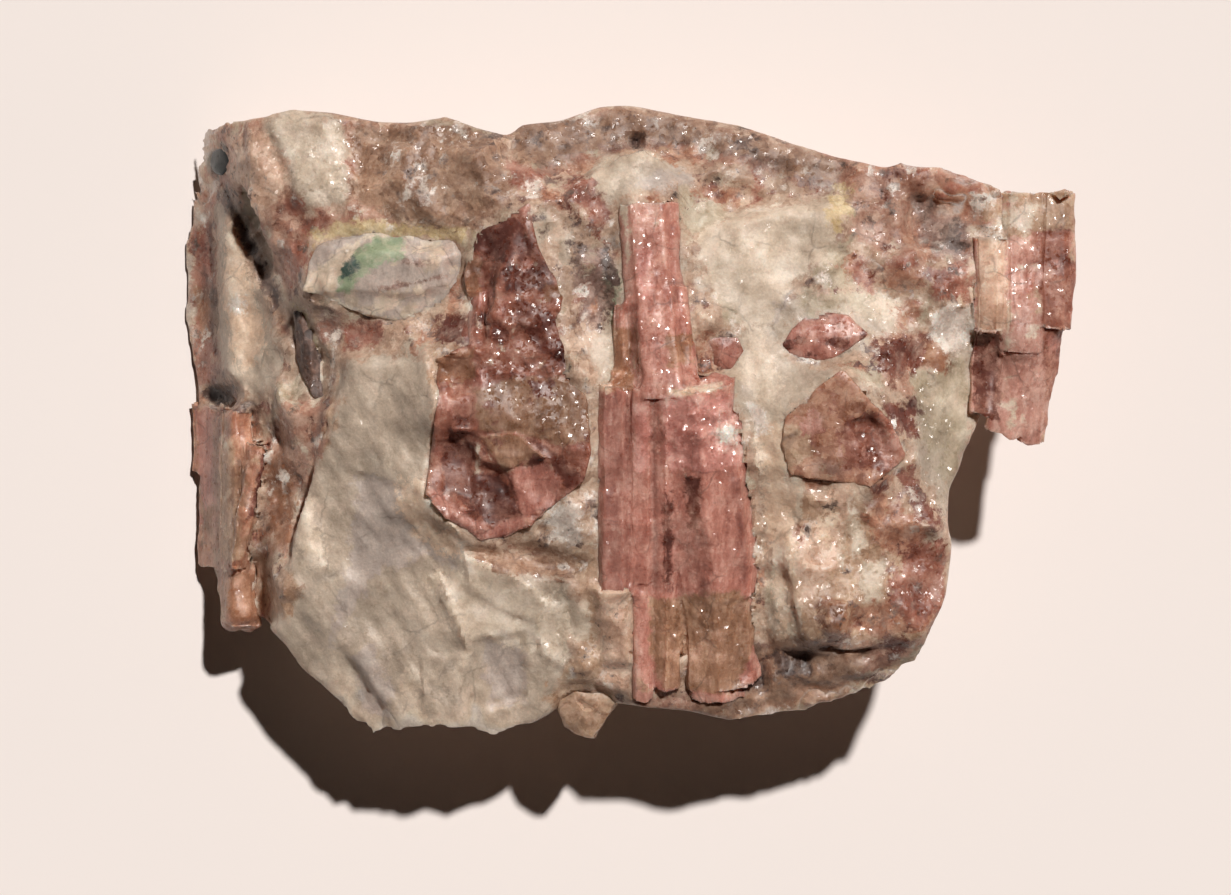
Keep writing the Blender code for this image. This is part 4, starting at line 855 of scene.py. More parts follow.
            ((17.2, 1.5), (19.5, 1.5), (19.7, -0.5), (18.8, -1.1), (17.3, -0.1)),
            ((18, -3.4), (19.2, -2.8), (19.6, -4.2), (20.4, -5.3), (21.3, -6.9), (21, -7.6),
             (20.1, -6.8), (19, -5.7)),
            ((16.8, 5.6), (20.5, 5.8), (20.5, 4.2), (17.8, 2.5), (16.6, 3.9)),
            ((-12.5, 7), (-10, 7.4), (-9.8, 5.2), (-12.2, 5)),
            ((13.3, -13.6), (15.3, -13.6), (15.2, -14.6), (13.4, -14.6)),
            ((17, -14.5), (18.8, -13.7), (19, -15.2), (17.8, -16)),
        ),
        "orange": (
            ((-29.2, 9.2), (-27.8, 9), (-27.9, 5.5), (-29, 5.8)),
            ((13.2, -12.2), (14.2, -11.8), (15.3, -12.5), (15, -14), (13.4, -14.1)),
            ((20.2, 5.2), (21.8, 5), (21.7, 3.4), (20.2, 3.5)),
            ((-24, -3.1), (-22.8, -1.1), (-22, -3.1), (-22.3, -7.8), (-23.6, -8.8)),
            ((5.2, -18.5), (7.8, -18.6), (7.7, -19.3), (5.3, -19.3)),
        ),
        "yellow": (
            ((14.1, 15.9), (15.2, 15.7), (15.2, 14.6), (14.2, 14.6)),
            ((13.6, 14.8), (14.9, 15.1), (15.2, 14.2), (14.4, 12.4), (13.6, 12.7)),
            ((-21, 12.4), (-18.8, 13.4), (-16.2, 13.5), (-12.8, 13.1), (-10.2, 13.1), (-10.2, 12.4),
             (-14.8, 12.4), (-18.5, 12.3), (-20.7, 11.8)),
            ((-21.8, 7.8), (-21.2, 7), (-20.3, 4.2), (-20.7, 4), (-21.5, 6.2)),
        ),
        # bright flecks painted where the lamp glints off mica and quartz
        "whiteAndPaintedGlint": (
            ((20.5, 7.5), (21.8, 7.9), (23.2, 7.6), (23.2, 5.2), (21.5, 4.7), (20.6, 5.8)),
            ((23, 15), (24.5, 15.1), (24.5, 13.9), (23.2, 13.9)),
            ((23.5, 12.7), (25.2, 12.8), (25.2, 10.7), (23.6, 10.7)),
            ((-26.5, 8.8), (-25.4, 8.7), (-25.5, 7.5), (-26.4, 7.6)),
            ((8.5, 1), (9.3, 0.7), (9.7, -0.9), (8.9, -0.6)),
            ((-4.7, -5.5), (-2.7, -5.5), (-2.8, -8), (-4.4, -8)),
            ((-1.9, -5.8), (-1, -5.8), (-1.1, -8.1), (-1.8, -8)),
        ),
        # the patches that sit in pits, in the left groove, the hole at the left edge and the vug beside the
        # left crystal are painted shade in those hollows; the others and the scattered specks are dark grains
        "dark": (
            ((-27.1, 15.9), (-26.6, 15.8), (-25.8, 13.5), (-24.3, 11.1), (-23.2, 8.8), (-23, 7.1),
             (-23.2, 7), (-24, 8.4), (-24.8, 10.6), (-26.1, 13)),
            ((19.8, 14.8), (20.8, 14.8), (21.2, 14), (20.4, 13.9)),
            ((21.2, 13.4), (22.4, 13.2), (23, 11.9), (22.2, 11.4), (21.3, 12.2)),
            ((0.5, 19.1), (1.1, 19.1), (1.1, 18.4), (0.6, 18.4)),
            ((-28.7, 2.6), (-26.4, 2.5), (-26.6, 1.4), (-28.4, 1.4)),
            ((-9.5, 19.7), (-8.2, 19.5), (-8.2, 18.7), (-9.2, 18.7)),
            ((7.5, 19.2), (9, 19), (8.8, 18.1), (7.7, 18.2)),
            ((7.8, -16), (9.5, -15.8), (9.7, -17.8), (8, -17.8)),
            ((10.8, -15.2), (12.6, -15.2), (12.6, -16.6), (11, -16.6)),
            ((-3.5, 11.8), (-2.5, 12.2), (-2.5, 11.5), (-3.2, 9.8), (-3.5, 10.2)),
            ((-1.5, 11.5), (-1, 11.5), (-0.3, 9.2), (-1, 6.5), (-1.5, 6.5), (-1, 9.2)),
            ((10.2, -15.5), (12.6, -15.5), (12.6, -16.9), (10.5, -16.9)),
        ),
        "mint": (
            ((-1.1, 10), (-0.3, 9.8), (-0.2, 6.2), (-0.7, 6.4)),
        ),
        # the first patch here, at the top left corner, and the second, beside the central crystal's lower
        # end, are painted light over faces that lie in shade; the third is paler stone
        "blushAndPaintedLight": (
            ((-26.7, 19.2), (-24, 19.5), (-22.5, 17.5), (-22.5, 15.2), (-24, 13.8), (-25.8, 14.3),
             (-26.7, 16.5)),
            ((-1.8, -8.6), (0.4, -8.6), (0.5, -17.8), (-1.6, -17.8)),
            ((10.9, -9.2), (12.6, -7.8), (13.8, -3.8), (15.2, -3.9), (14.4, -9.2), (12.6, -11.8),
             (11.2, -12.5)),
        ),
        # the third patch here, in the hollow below the left crystal, and the last two, on the low shelf at
        # the bottom right, are painted shade on faces turned from the lamp; the first two are darker stone
        "duskAndPaintedShade": (
            ((-18.2, 19.9), (-10.2, 19.9), (-7.8, 18.9), (-7.6, 14.8), (-10.2, 13), (-14.8, 13.5),
             (-18, 14.8)),
            ((-7.4, 19.9), (-4.2, 20.3), (0.5, 21.1), (5.2, 20.2), (11.8, 18.2), (14.5, 17.5),
             (14.2, 16.2), (11.8, 16.3), (9.2, 17.5), (5.2, 18.5), (1.2, 18.9), (-2.2, 18.2),
             (-5.5, 17), (-7.4, 17.5)),
            ((-10.4, -8.2), (-4.2, -8.5), (-2.2, -9.5), (-3.5, -10.5), (-8.2, -10)),
            ((7.5, -14.8), (16.5, -15.2), (15.2, -18.5), (9.8, -19.5), (5.2, -19.3)),
            ((9.7, -14.3), (11.9, -14.3), (11.9, -15.3), (9.8, -15.3)),
        ),
        # the first patch here, on the band right of the central crystal, and the last, at the lower left of
        # the left crystal, are painted light over slopes turned from the lamp; the others are paler stone
        "ivoryAndPaintedLight": (
            ((8.6, -0.5), (10, 0.2), (11.3, -2.5), (11.8, -11.8), (10.6, -14.2), (9.7, -9.2),
             (9.1, -3.1)),
            ((-27, 13.2), (-25.9, 12.2), (-24.7, 8.2), (-24, 4.8), (-25.5, 3.4), (-26.7, 5.5),
             (-27.2, 8.8)),
            ((13, -6.5), (13.8, -5.2), (14.4, -6.5), (13.4, -9.2)),
            ((-15, -3.7), (-13, -3.9), (-10.7, -7.2), (-11.2, -8.9), (-13.5, -7.8), (-14.8, -5.8)),
        ),
    },
    "zones": (  # how much they sparkle, outline
        (0.8, ((-26.7, 9.1), (-25.4, 9.1), (-25.2, 7.4), (-26.6, 7.4))),
        (0.75, ((-5.5, -10.5), (-3.4, -10.6), (-3.5, -16.3), (-5.2, -16))),
        (0.8, ((16.6, 5.8), (20.4, 5.8), (20.5, 1.5), (17, 1.5))),
        (0.75, ((18.8, 1.5), (22, 1.5), (22, -7.2), (19.5, -6.5))),
        (0.8, ((20.4, 8.2), (23.3, 8.2), (23.5, 4.7), (20.5, 4.8))),
        (0.75, ((-1.5, 12.4), (-0.2, 12.4), (-0.3, 11.4), (-1.5, 11.5))),
        (0.7, ((8.6, -6.2), (15.8, -6.2), (18.5, -9.2), (21.2, -6.5), (20.5, -14.5), (9.2, -14.5))),
        (0.7, ((-27.8, 18.5), (-26.2, 18.2), (-24.8, 14.8), (-14.8, 15.5), (-10.2, 18.2), (-9.5, 19.9),
         (-26.2, 20.2))),
    ),
    "shades": (  # painted shade in the grooves, hollows and pits and on ledges that face from the lamp, also dark cracks and darker stone: how dark, softness of the edge, outline
        (0.75, 0.25, ((0.5, 19.1), (1.1, 19.1), (1.2, 18.4), (0.5, 18.4))),
        (0.3, 0.4, ((-27.2, 16.7), (-26.6, 16.3), (-23.9, 12.2), (-22.4, 8.3), (-21.6, 5.2),
         (-22.2, 5.2), (-24, 8.8), (-25.4, 11.8))),
        (0.12, 0.4, ((-8.5, -8.2), (-2.2, -8.3), (-2.3, -10.5), (-8.2, -10.3))),
        (0.26, 0.8, ((-7.4, 20.2), (-4.2, 20.5), (0.5, 21.2), (5.2, 20.4), (11.8, 18.4), (15.8, 17.5),
         (14.2, 16.1), (9.2, 17.2), (1.2, 18.7), (-5.5, 17))),
        (0.14, 0.8, ((-16.8, 19.9), (-9.5, 19.9), (-8.2, 14.8), (-14.8, 13.8))),
        (0.25, 0.6, ((-0.2, -17.8), (9.2, -18.5), (18.5, -15.8), (20.5, -14.5), (17.2, -18.1),
         (9.2, -19.9), (-0.2, -19.5))),
        (0.3, 0.7, ((10.2, -15), (18.8, -14.6), (18.2, -17.4), (10.5, -17.8))),
        (0.18, 0.5, ((19.3, 1.2), (21.8, 1.2), (21.7, -5.2), (19.8, -4.8))),
        (0.55, 0.5, ((7.7, -16.1), (9.7, -16.1), (9.8, -18.1), (8, -18.2))),
        (0.6, 0.5, ((10.1, -15.3), (12.6, -15.3), (12.8, -17), (10.4, -17))),
        (0.3, 0.4, ((9.7, -14.3), (11.9, -14.3), (11.9, -15.3), (9.8, -15.3))),
        (0.75, 0.3, ((-28.4, 2.5), (-26.4, 2.5), (-26.6, 1.5), (-28.2, 1.5))),
        (0.5, 0.25, ((-20.2, 1.5), (-19.9, 1.5), (-20.1, -1.1), (-20.4, -1.1))),
        (0.45, 0.4, ((15.7, -4.8), (17, -4.8), (17, -6), (15.8, -6))),
        (0.3, 0.4, ((12.6, -2.5), (14.8, -2.5), (14.8, -3.5), (12.8, -3.3))),
        (0.5, 0.3, ((8.6, -14.5), (9.4, -14.5), (9.3, -15.6), (8.7, -15.6))),
        (0.35, 0.3, ((-20.6, -10.2), (-19.1, -10), (-19.1, -10.3), (-20.6, -10.7))),
    ),
    "relief": (  # height, softness of the edge, outline
        (-1.2, 0.35, ((0.4, 19.1), (1.2, 19.1), (1.2, 18.3), (0.4, 18.3))),
        (-0.7, 0.5, ((-10.2, -8.5), (-6.8, -8.2), (-4.2, -8.5), (-2.4, -9.3), (-3.2, -10.2),
         (-5.5, -10), (-8.5, -9.3))),
        (-0.8, 0.4, ((7.8, -15.8), (9.7, -15.7), (9.8, -17.8), (8, -17.9))),
        (-0.8, 0.4, ((10.8, -15.2), (12.6, -15.2), (12.6, -16.6), (11, -16.6))),
        (-1.0, 0.3, ((-28.7, 2.6), (-26.4, 2.5), (-26.6, 1.5), (-28.4, 1.5))),
        (-0.4, 0.4, ((-27.4, 16.7), (-26.6, 16.3), (-23.9, 12.4), (-22.3, 8.8), (-21.2, 5.2),
         (-20.2, 1.7), (-20.7, 1.5), (-22, 4.7), (-23.6, 7.8), (-25.4, 11.5))),
        hollow,
        (0.25, 0.15, ((-18.6, 4), (-12.7, 4), (-12.4, 1.5), (-12.8, -1.1), (-13.2, -4.8), (-16, -3.8),
         (-18.5, -3.1), (-19.6, -1.1))),
        (0.25, 0.12, ((-13, -10.2), (-12.2, -10), (-10.2, -14.5), (-10.2, -15.8), (-11.2, -13.5))),
        (0.22, 0.1, ((-13.5, -15.5), (-10.4, -15.5), (-10.3, -20.6), (-13.2, -20.8))),
        (0.25, 0.12, ((-10.6, -8.8), (-8.2, -9.2), (-5, -11.8), (-5.5, -13.5), (-8.2, -12.5),
         (-10.2, -11.2))),
        (0.35, 0.2, ((-5.9, -12.8), (-5.1, -11.8), (-3.8, -12.2), (-3.4, -14.5), (-4, -16.3),
         (-5.3, -15.7), (-5.7, -14.5))),
        (-0.4, 0.3, ((-9.4, -14.5), (-6.6, -14), (-6.6, -18.5), (-8.8, -19.1))),
        (0.8, 0.5, ((-1.9, -11), (0.6, -11), (0.6, -16.1), (-1.1, -16.1))),
    ),
}


def layTop(piece):  # the top of the solid takes the heights that meet the crystals
    mesh = bmesh.new()
    mesh.from_mesh(piece.data)
    for face in mesh.faces:
        centre = face.calc_center_median() / mm
        hit = rockTree.ray_cast(centre + Vector((0, 0, farUp)), Vector((0, 0, -1)))[0]
        seen = hit is not None and abs(hit.z - centre.z) < 0.03
        face.material_index = 1 if seen and face.normal.z > 0.004 else 0
    for _ in range(3):
        longEdges = [edge for edge in mesh.edges if edge.calc_length() > rock["longestEdge"] * mm
                     and any(face.material_index for face in edge.link_faces)]
        bmesh.ops.subdivide_edges(mesh, edges=longEdges, cuts=1)
        bmesh.ops.triangulate(mesh, faces=mesh.faces)
    topPoints = [vertex for vertex in mesh.verts if any(face.material_index for face in vertex.link_faces)]
    flat = np.array([vertex.co.xy for vertex in topPoints]) / mm
    for vertex, height in zip(topPoints, sample(carried, flat)):
        vertex.co.z = height * mm
    mesh.to_mesh(piece.data)
    mesh.free()


def roughenRock(piece):  # chips, cleavage steps, ledges and pits, none of them above a crystal
    points = pointsOf(piece)
    normals = normalsOf(piece)
    flat = points[:, :2]
    below = sample(carried, flat) - points[:, 2]
    onTop = smoothStep(normals[:, 2], 0.15, 0.5) * (1.0 - smoothStep(below, 0.4, 1.6))
    fade = 0.3 + 0.7 * smoothStep(sample(crystalDistance, flat), 0.1, rock["fadeAtCrystals"])
    fade = fade * onTop + (1.0 - onTop)
    smooth = insideAny(flat, rock["minerals"]["feldspar"] + rock["minerals"]["cream"])
    smooth = smoothStep(smooth, -0.3, 0.6)
    calm = 1.0 - 0.5 * smooth * onTop
    rimShare = smoothStep(sample(rimDepth, flat), 0.2, 1.4)
    push = np.zeros(len(points))
    for number, (size, topHeight, flankHeight) in enumerate(rock["chips"]):
        chip = chipNoise(points, size, 40 + 20 * number)
        push += (chip - chip.mean()) * topHeight * calm * onTop * (0.4 + 0.6 * rimShare)
        push += (chip - np.percentile(chip, 88)) * flankHeight * (1.0 - onTop)
    push += 0.04 * softNoise(points, 0.6, 11, 2)
    along, across = np.array(((0.55, -0.84), (0.84, 0.55))) @ flat.T
    cleavage = chipNoise(np.column_stack((along * 0.2, across, points[:, 2] * 0.5)), 0.7, 33)
    push += rock["cleavage"] * (cleavage - cleavage.mean()) * smooth * onTop * rimShare
    foot = smoothStep(points[:, 2], 0.1, 1.6)
    direction = normals * (1.0 - onTop)[:, None] + np.array((0.0, 0.0, 1.0)) * onTop[:, None]
    direction[:, :2] *= rimShare[:, None]
    points += direction * (push * fade * foot)[:, None]
    for height, soft, outline in rock["relief"]:
        points[:, 2] += height * shareInside(flat, outline, soft) * onTop
    under = sample(crystalBelow, flat) + 0.05
    deep = (sample(footprintDepth, flat) > 0.5) & (onTop > 0.05)
    limit = sample(np.where(footprint, crystalTop, farUp), flat) - 0.05
    points[:, 2] = np.where(deep, np.minimum(points[:, 2], under), np.minimum(points[:, 2], limit))
    points[:, 2] = np.maximum(points[:, 2], 0.0)
    setPoints(piece, points)
    return points


def smoothRim(piece, points):
    width, rounds = rock["smoothRim"]
    mesh = bmesh.new()
    mesh.from_mesh(piece.data)
    mesh.verts.ensure_lookup_table()
    rim = [mesh.verts[number] for number in np.flatnonzero(sample(rimDepth, points[:, :2]) < width)]
    for _ in range(rounds):
        bmesh.ops.smooth_vert(mesh, verts=rim, factor=0.5, use_axis_x=True, use_axis_y=True, use_axis_z=True)
    mesh.to_mesh(piece.data)
    mesh.free()


def leanRight(piece):  # towards the bundle of prisms at the right end
    lean = rock["lean"]
    points = pointsOf(piece)
    beside = smoothStep(points[:, 0], *lean["right"]) * smoothStep(points[:, 1], *lean["start"])
    points[:, 0] += lean["most"] * beside * (1.0 - smoothStep(points[:, 1], *lean["end"]))
    setPoints(piece, points)
    return points


def makeRock():
    layTop(rockNode)
    evenFaces(rockNode, rock["faceSize"])
    smoothRim(rockNode, roughenRock(rockNode))
    points = leanRight(rockNode)
    depth, between = rock["litLeft"]
    below = sample(carried, points[:, :2]) - points[:, 2] - depth * smoothStep(-points[:, 0], *between)
    finishPiece(rockNode, "matrix", rock, paintFields(rockNode, rock, below))


valleyCells = 5  # valleys in a crystal's top up to twice this wide are filled
crystals = {
    "central_crystal": {
        "piece": "centralCrystal", "slot": "pink_tourmaline", "base": "pinkPrism", "faceSize": 0.17,
        "ridges": 0.025, "chips": 0.07, "fill": 0.75, "gain": 1.17, "specks": 0.2, "bend": 0.12,
        "ends": 0.3,
        "scatter": {"rose": (1.5, 0.3, 91), "tan": (1.6, 0.5, 92),
                    "brick": (1.4, 0.5, 95), "cream": (0.8, 0.6, 93)},
        "zones": (
            (0.8, ((2, 2.1), (7.5, 2.1), (7.5, -3.1), (4.5, -3.4), (2.2, -2.5))),
            (1.1, ((4.5, 1.2), (7, 1), (8, -0.1), (7.7, -1.9), (6, -2.2), (4.9, -0.6))),
            (0.75, ((2.5, -11.2), (8.2, -11.2), (8.5, -14.5), (5.2, -15.8), (2.8, -14.5))),
            (0.7, ((0.9, 14.2), (2.5, 14.2), (3.3, 6.2), (1.7, 6.2))),
            (0.8, ((-0.3, 3.5), (1.3, 3.5), (1.3, 2.2), (-0.3, 2.2))),
        ),
        # painted shade in the grooves between the prisms and along their partings, and a darker left column
        "shades": (
            (0.22, 0.3, ((-1.7, 1.9), (0.4, 1.9), (0.4, -11.2), (-1.5, -11.2))),
            (0.2, 0.12, ((1.9, 1.7), (2.2, 1.7), (2.4, -11.2), (2, -11.2))),
            (0.12, 0.15, ((2.6, -4.8), (3.2, -4.8), (3.2, -11.3), (2.8, -11.3))),
            (0.2, 0.15, ((7.5, -3.8), (7.9, -3.8), (8.4, -9.2), (8, -11.2))),
            (0.4, 0.15, ((3, 9.4), (4.5, 9.4), (4.5, 9.1), (3, 9.1))),
            (0.4, 0.3, ((5.2, -10.5), (5.7, -10.5), (5.7, -11.6), (5.2, -11.6))),
        ),
        "minerals": {
            "rose": (
                ((-1.8, 2.1), (2.5, 2.5), (6.5, 1.5), (9, -3.1), (9.2, -11.8), (7.5, -18.3),
                 (1.5, -17.8), (0.6, -11.8), (-1.6, -11.2)),
                ((2.5, 14.8), (3.6, 14.7), (4.5, 8.2), (5, 2.5), (3.3, 2.5), (3, 8.2), (2.6, 12.2)),
                ((1.2, 12.8), (2.5, 12.8), (3, 8.2), (3.3, 2.5), (1.2, 2.5), (0.6, 8.2)),
            ),
            "brick": (
                ((3.6, 8.8), (4.6, 8.8), (5, 2.5), (4.1, 2.5)),
            ),
            "pinkPrism": (
                ((2.2, 1.9), (7.5, 2.1), (8.1, -3), (4.5, -3.7), (2.4, -3.1)),
            ),
            "orange": (
                ((-0.7, 6.2), (0.5, 6.2), (0.5, 2.1), (-0.8, 2.1)),
                ((2.8, 5.8), (4.5, 5.8), (4.6, 3.9), (3, 3.6)),
            ),
            "paleStone": (
                ((1.8, -11.8), (7.8, -11.2), (9.2, -12.5), (8.5, -15.5), (7.5, -18.1), (2.8, -17.8),
                 (1.8, -15.8)),
            ),
            "wine": (
                ((2.7, -4.6), (3.2, -4.6), (3.2, -11.3), (2.8, -11.3)),
                ((4.1, -3.4), (5.2, -3.7), (5, -7.2), (4.4, -7)),
            ),
            "cream": (
                ((4.5, 2.5), (6.6, 2.6), (6.5, 1.8), (4.8, 1.9)),
                ((-0.2, 14.6), (0.2, 14.6), (0.6, 10.7), (0.3, 10.5)),
                ((1.9, 1.5), (2.2, 1.5), (2.3, -5.2), (2, -5.2)),
                ((4.5, -11.8), (5.2, -11.8), (5.4, -14.5), (4.8, -14.6)),
            ),
            "blushAndPaintedLight": (
                ((-1.6, 8.4), (-0.6, 8.4), (-0.8, 2.1), (-1.8, 2.1)),
            ),
            # painted glints on the bright cluster
            "whiteAndPaintedGlint": (
                ((6.2, -0.3), (7.6, -0.5), (7.6, -1.4), (6.5, -1.3)),
            ),
            "petal": (
                ((2.5, 1.7), (5.2, 1.8), (7.4, 1.7), (8.1, -1.1), (8, -2.8), (5.2, -3.3), (2.8, -3)),
                ((0.8, 1.4), (1.7, 1.4), (1.8, -3.1), (0.9, -3.1)),
                ((0.8, 11.5), (1.7, 11.5), (2, 8.2), (1.2, 8.2)),
            ),
            "ivoryAndPaintedLight": (
                ((3, 2.1), (4.5, 2.3), (4.8, 1.8), (3.3, 1.4)),
            ),
        },
    },
    "left_crystal": {
        "piece": "leftCrystal", "slot": "red_tourmaline", "base": "brick", "faceSize": 0.16, "fill": 0.8,
        "veil": 0.2, "chips": 0.17,
        "scatter": {"rose": (1.6, 0.4, 94), "wine": (1.2, 0.42, 95),
                    "tan": (1.3, 0.5, 96), "cream": (0.8, 0.66, 97)},
        "zones": (
            (0.85, ((-9.5, 8.8), (-2.8, 8.8), (-2.5, 2.5), (-9.4, 2.3))),
            (0.75, ((-7.8, 10.2), (-4.4, 10.2), (-4.4, 8.8), (-7.8, 8.8))),
            (0.75, ((-7.5, 3.4), (-1.5, 3.4), (-1.5, -1.1), (-4.2, -1.9), (-7.4, -0.5))),
            (0.6, ((-11.5, 3.2), (-7.5, 3.2), (-7.4, 2.1), (-11.4, 1.9))),
        ),
        "shades": (
            (0.2, 0.15, ((-11.7, -1.3), (-10.2, -1.4), (-10.3, -2.4), (-11.8, -2.4))),
            (0.2, 0.1, ((-10, -3.5), (-8.2, -3.4), (-6.8, -6), (-10, -6.2))),
            (0.3, 0.3, ((-6.8, 13.8), (-6, 13.2), (-5, 10.3), (-5.8, 9.8))),
            (0.14, 0.5, ((-10.2, 2.7), (-2, 2.9), (-2, -0.5), (-9.8, -0.6))),
        ),
        "relief": (
            hollow,
            (0.2, 0.08, ((-9.4, -0.9), (-7.1, -0.6), (-5, -2.4), (-6.8, -2.9), (-8.1, -3.2))),
            (-0.06, 0.12, ((-10.2, -3.5), (-8.2, -3.4), (-6.8, -6.1), (-8.8, -6.8), (-10.2, -5.8))),
            (0.12, 0.12, ((-7.7, -3.3), (-6.7, -3), (-5, -2.6), (-4, -3.9), (-4.8, -6), (-6.7, -6.1))),
            (-0.06, 0.12, ((-12, -1.4), (-9.8, -1.5), (-9.9, -5.5), (-11.9, -4.5))),
            (-0.1, 0.1, ((-12.2, 2.2), (-9.9, 2.2), (-9.9, -0.3), (-12.2, -0.3))),
            (-0.2, 0.12, ((-10.8, 13.8), (-6.8, 14), (-6, 10.8), (-7.8, 9), (-10.2, 8.8))),
        ),
        "minerals": {
            "wine": (
                ((-7.8, 10.2), (-4.5, 10.2), (-4.4, 8.8), (-7.8, 8.7)),
                ((-8.2, 13.8), (-6.8, 13.2), (-5.8, 11.2), (-6.8, 10.7), (-7.8, 12.2)),
                ((-12, -1.4), (-9.8, -1.5), (-9.9, -5.5), (-11.9, -4.5)),
                ((-10.2, -3.5), (-8.2, -3.4), (-6.8, -6.1), (-8.8, -6.8), (-10.2, -5.8)),
                ((-6.6, -0.9), (-5.5, -1.1), (-3.5, -2.9), (-1.7, -3.8), (-1.9, -4.8), (-3.8, -4.2),
                 (-4.8, -2.6)),
                ((-10.7, 14.5), (-8.2, 14.2), (-6.7, 11.5), (-7.8, 10.5), (-10.2, 11.5)),
                ((-6.8, 8.2), (-4.2, 6.8), (-2.2, 4.2), (-3.2, 3.4), (-5.5, 4.8), (-7.2, 6.8)),
            ),
            "brick": (
                ((-12.2, 2.2), (-9.9, 2.2), (-9.9, -0.3), (-12.2, -0.3)),
                ((-13.1, 2.5), (-12.2, 2.3), (-12, -4.8), (-12.8, -4.5)),
                ((-7.8, 8.2), (-6.2, 8.4), (-5.2, 7.5), (-6.2, 6.2), (-7.6, 6.5)),
            ),
            "paleStone": (
                ((-9.9, 2.1), (-6.8, 3), (-1.5, 3), (-1.8, -1.1), (-3.8, -1.5), (-6.6, -0.9),
                 (-9.5, -0.6)),
                ((-9.4, -0.9), (-7.1, -0.6), (-5, -2.4), (-6.8, -2.9), (-8.1, -3.2)),
            ),
            "rose": (
                ((-12.8, -4.5), (-11.9, -4.6), (-10.2, -6), (-8.8, -6.9), (-6.8, -6.2), (-6.2, -7.2),
                 (-7.8, -8.5), (-10.2, -8.2), (-12.2, -6.2)),
                ((-7.7, -3.3), (-6.7, -3), (-5, -2.6), (-4, -3.9), (-4.8, -6), (-6.7, -6.1)),
            ),
            "pinkPrism": (
                ((-12.5, 7.4), (-9.9, 7.4), (-9.9, 5.2), (-12.3, 5.2)),
            ),
            "orange": (
                ((-12.6, 4.7), (-9.8, 4.8), (-9.8, 2.9), (-12.3, 2.7)),
                ((-10.6, 11.2), (-9.4, 11.2), (-9.5, 8.4), (-10.6, 8.4)),
                ((-5.2, 9.2), (-3.8, 9.2), (-3.8, 8.2), (-5.1, 8.2)),
            ),
            "cream": (
                ((-11.1, 9), (-10.2, 9), (-10.3, 5.8), (-11, 5.8)),
                ((-9.8, -1.5), (-9.5, -1.5), (-9.6, -3.8), (-9.9, -3.8)),
            ),
            "feldspar": (
                ((-4.7, -5.5), (-2.7, -5.4), (-2.8, -8.2), (-4.4, -8.2)),
            ),
        },
    },
    "block_crystal": {
        "piece": "blockCrystal", "slot": "salmon_tourmaline", "base": "salmon", "faceSize": 0.18,
        "chips": 0.1, "ragged": 0.9,
        "scatter": {"pinkPrism": (1.8, 0.4, 98), "brick": (1.4, 0.45, 99), "tan": (1.2, 0.55, 100)},
        "zones": (
            (0.65, ((14.8, 1.9), (17.2, 1.5), (18.8, -1.1), (17.8, -3.1), (15.2, -1.8))),
            (0.5, ((11.8, 0.8), (13.8, 1.5), (14.5, -1.1), (12.5, -1.8))),
        ),
        # a dark crack, and painted shade along the crystal's lower edge
        "shades": (
            (0.5, 0.12, ((8.5, -1.5), (10, -1.2), (11.6, -0.5), (11.6, -0.8), (10, -1.5), (8.5, -1.8))),
            (0.4, 0.5, ((12.8, -2.6), (14.5, -2.6), (14.5, -3.5), (12.8, -3.5))),
        ),
        "minerals": {
            "brick": (
                ((14.2, -0.6), (16.5, 0.8), (19.3, -0.1), (18.5, -3.3), (14.8, -3.1)),
            ),
            "tan": (
                ((9.5, -0.5), (11.8, 0.2), (12.8, -1.8), (11.2, -3.1), (9.5, -2.1)),
            ),
        },
    },
    "pink_crystal": {
        "piece": "pinkCrystal", "slot": "pink_tourmaline", "base": "rose", "faceSize": 0.14,
        "chips": 0.12,
        "scatter": {"pinkPrism": (1.2, 0.3, 103), "wine": (0.9, 0.45, 108)},
        "zones": (
            (0.65, ((11.8, 7), (15.2, 7), (14.8, 4.8), (11.8, 4.8))),
        ),
        "minerals": {},
    },
    "heart_crystal": {
        "piece": "heartCrystal", "slot": "crimson_tourmaline", "base": "rose", "faceSize": 0.12,
        "chips": 0.08,
        "scatter": {"brick": (1.0, 0.2, 104)},
        "minerals": {},
    },
    "end_crystals": {
        "piece": "endCrystals", "slot": "salmon_tourmaline", "base": "pinkPrism", "faceSize": 0.17,
        "ridges": 0.05, "chips": 0.12, "fill": 0.95, "rounds": 26, "gain": 1.13, "bend": 0.3, "ends": 0.5,
        "scatter": {"rose": (1.8, 0.42, 105), "cream": (1.0, 0.4, 106), "tan": (1.5, 0.45, 107)},
        "zones": (
            (0.8, ((26, 5.2), (28.2, 5.2), (27.8, 0.8), (26, 1.5))),
            (0.6, ((26.2, 12.5), (27.5, 12.5), (27.5, 8.2), (26.2, 8.2))),
        ),
        "shades": (
            (0.12, 0.5, ((23.5, 15.7), (30.4, 15.7), (30.4, 12.7), (23.5, 12.2))),
        ),
        "minerals": {
            "tan": (
                ((23.5, 15.5), (30.2, 15.5), (30.2, 12.8), (27.8, 12.5), (25.5, 12.2), (23.5, 12.2)),
            ),
            "brick": (
                ((27.8, 10.7), (30.2, 10.7), (30, 6.2), (29.3, -0.5), (28, -0.5)),
                ((27.2, 12.8), (29.8, 12.8), (29.8, 10.7), (27.3, 10.7)),
            ),
            "blushAndPaintedLight": (
                ((23.5, 12.8), (25.6, 12.8), (25.6, 5.8), (23.6, 6.2)),
            ),
            "wine": (
                ((23.3, 6.2), (25.2, 6), (25, 0.2), (23.5, 0.5)),
            ),
            "cream": (
                ((25.4, 8.2), (25.8, 8.2), (25.8, 4.8), (25.4, 4.8)),
            ),
            "pinkPrism": (
                ((26, 5.2), (27.8, 5.2), (28.4, 0.8), (26.5, 0.8)),
            ),
        },
    },
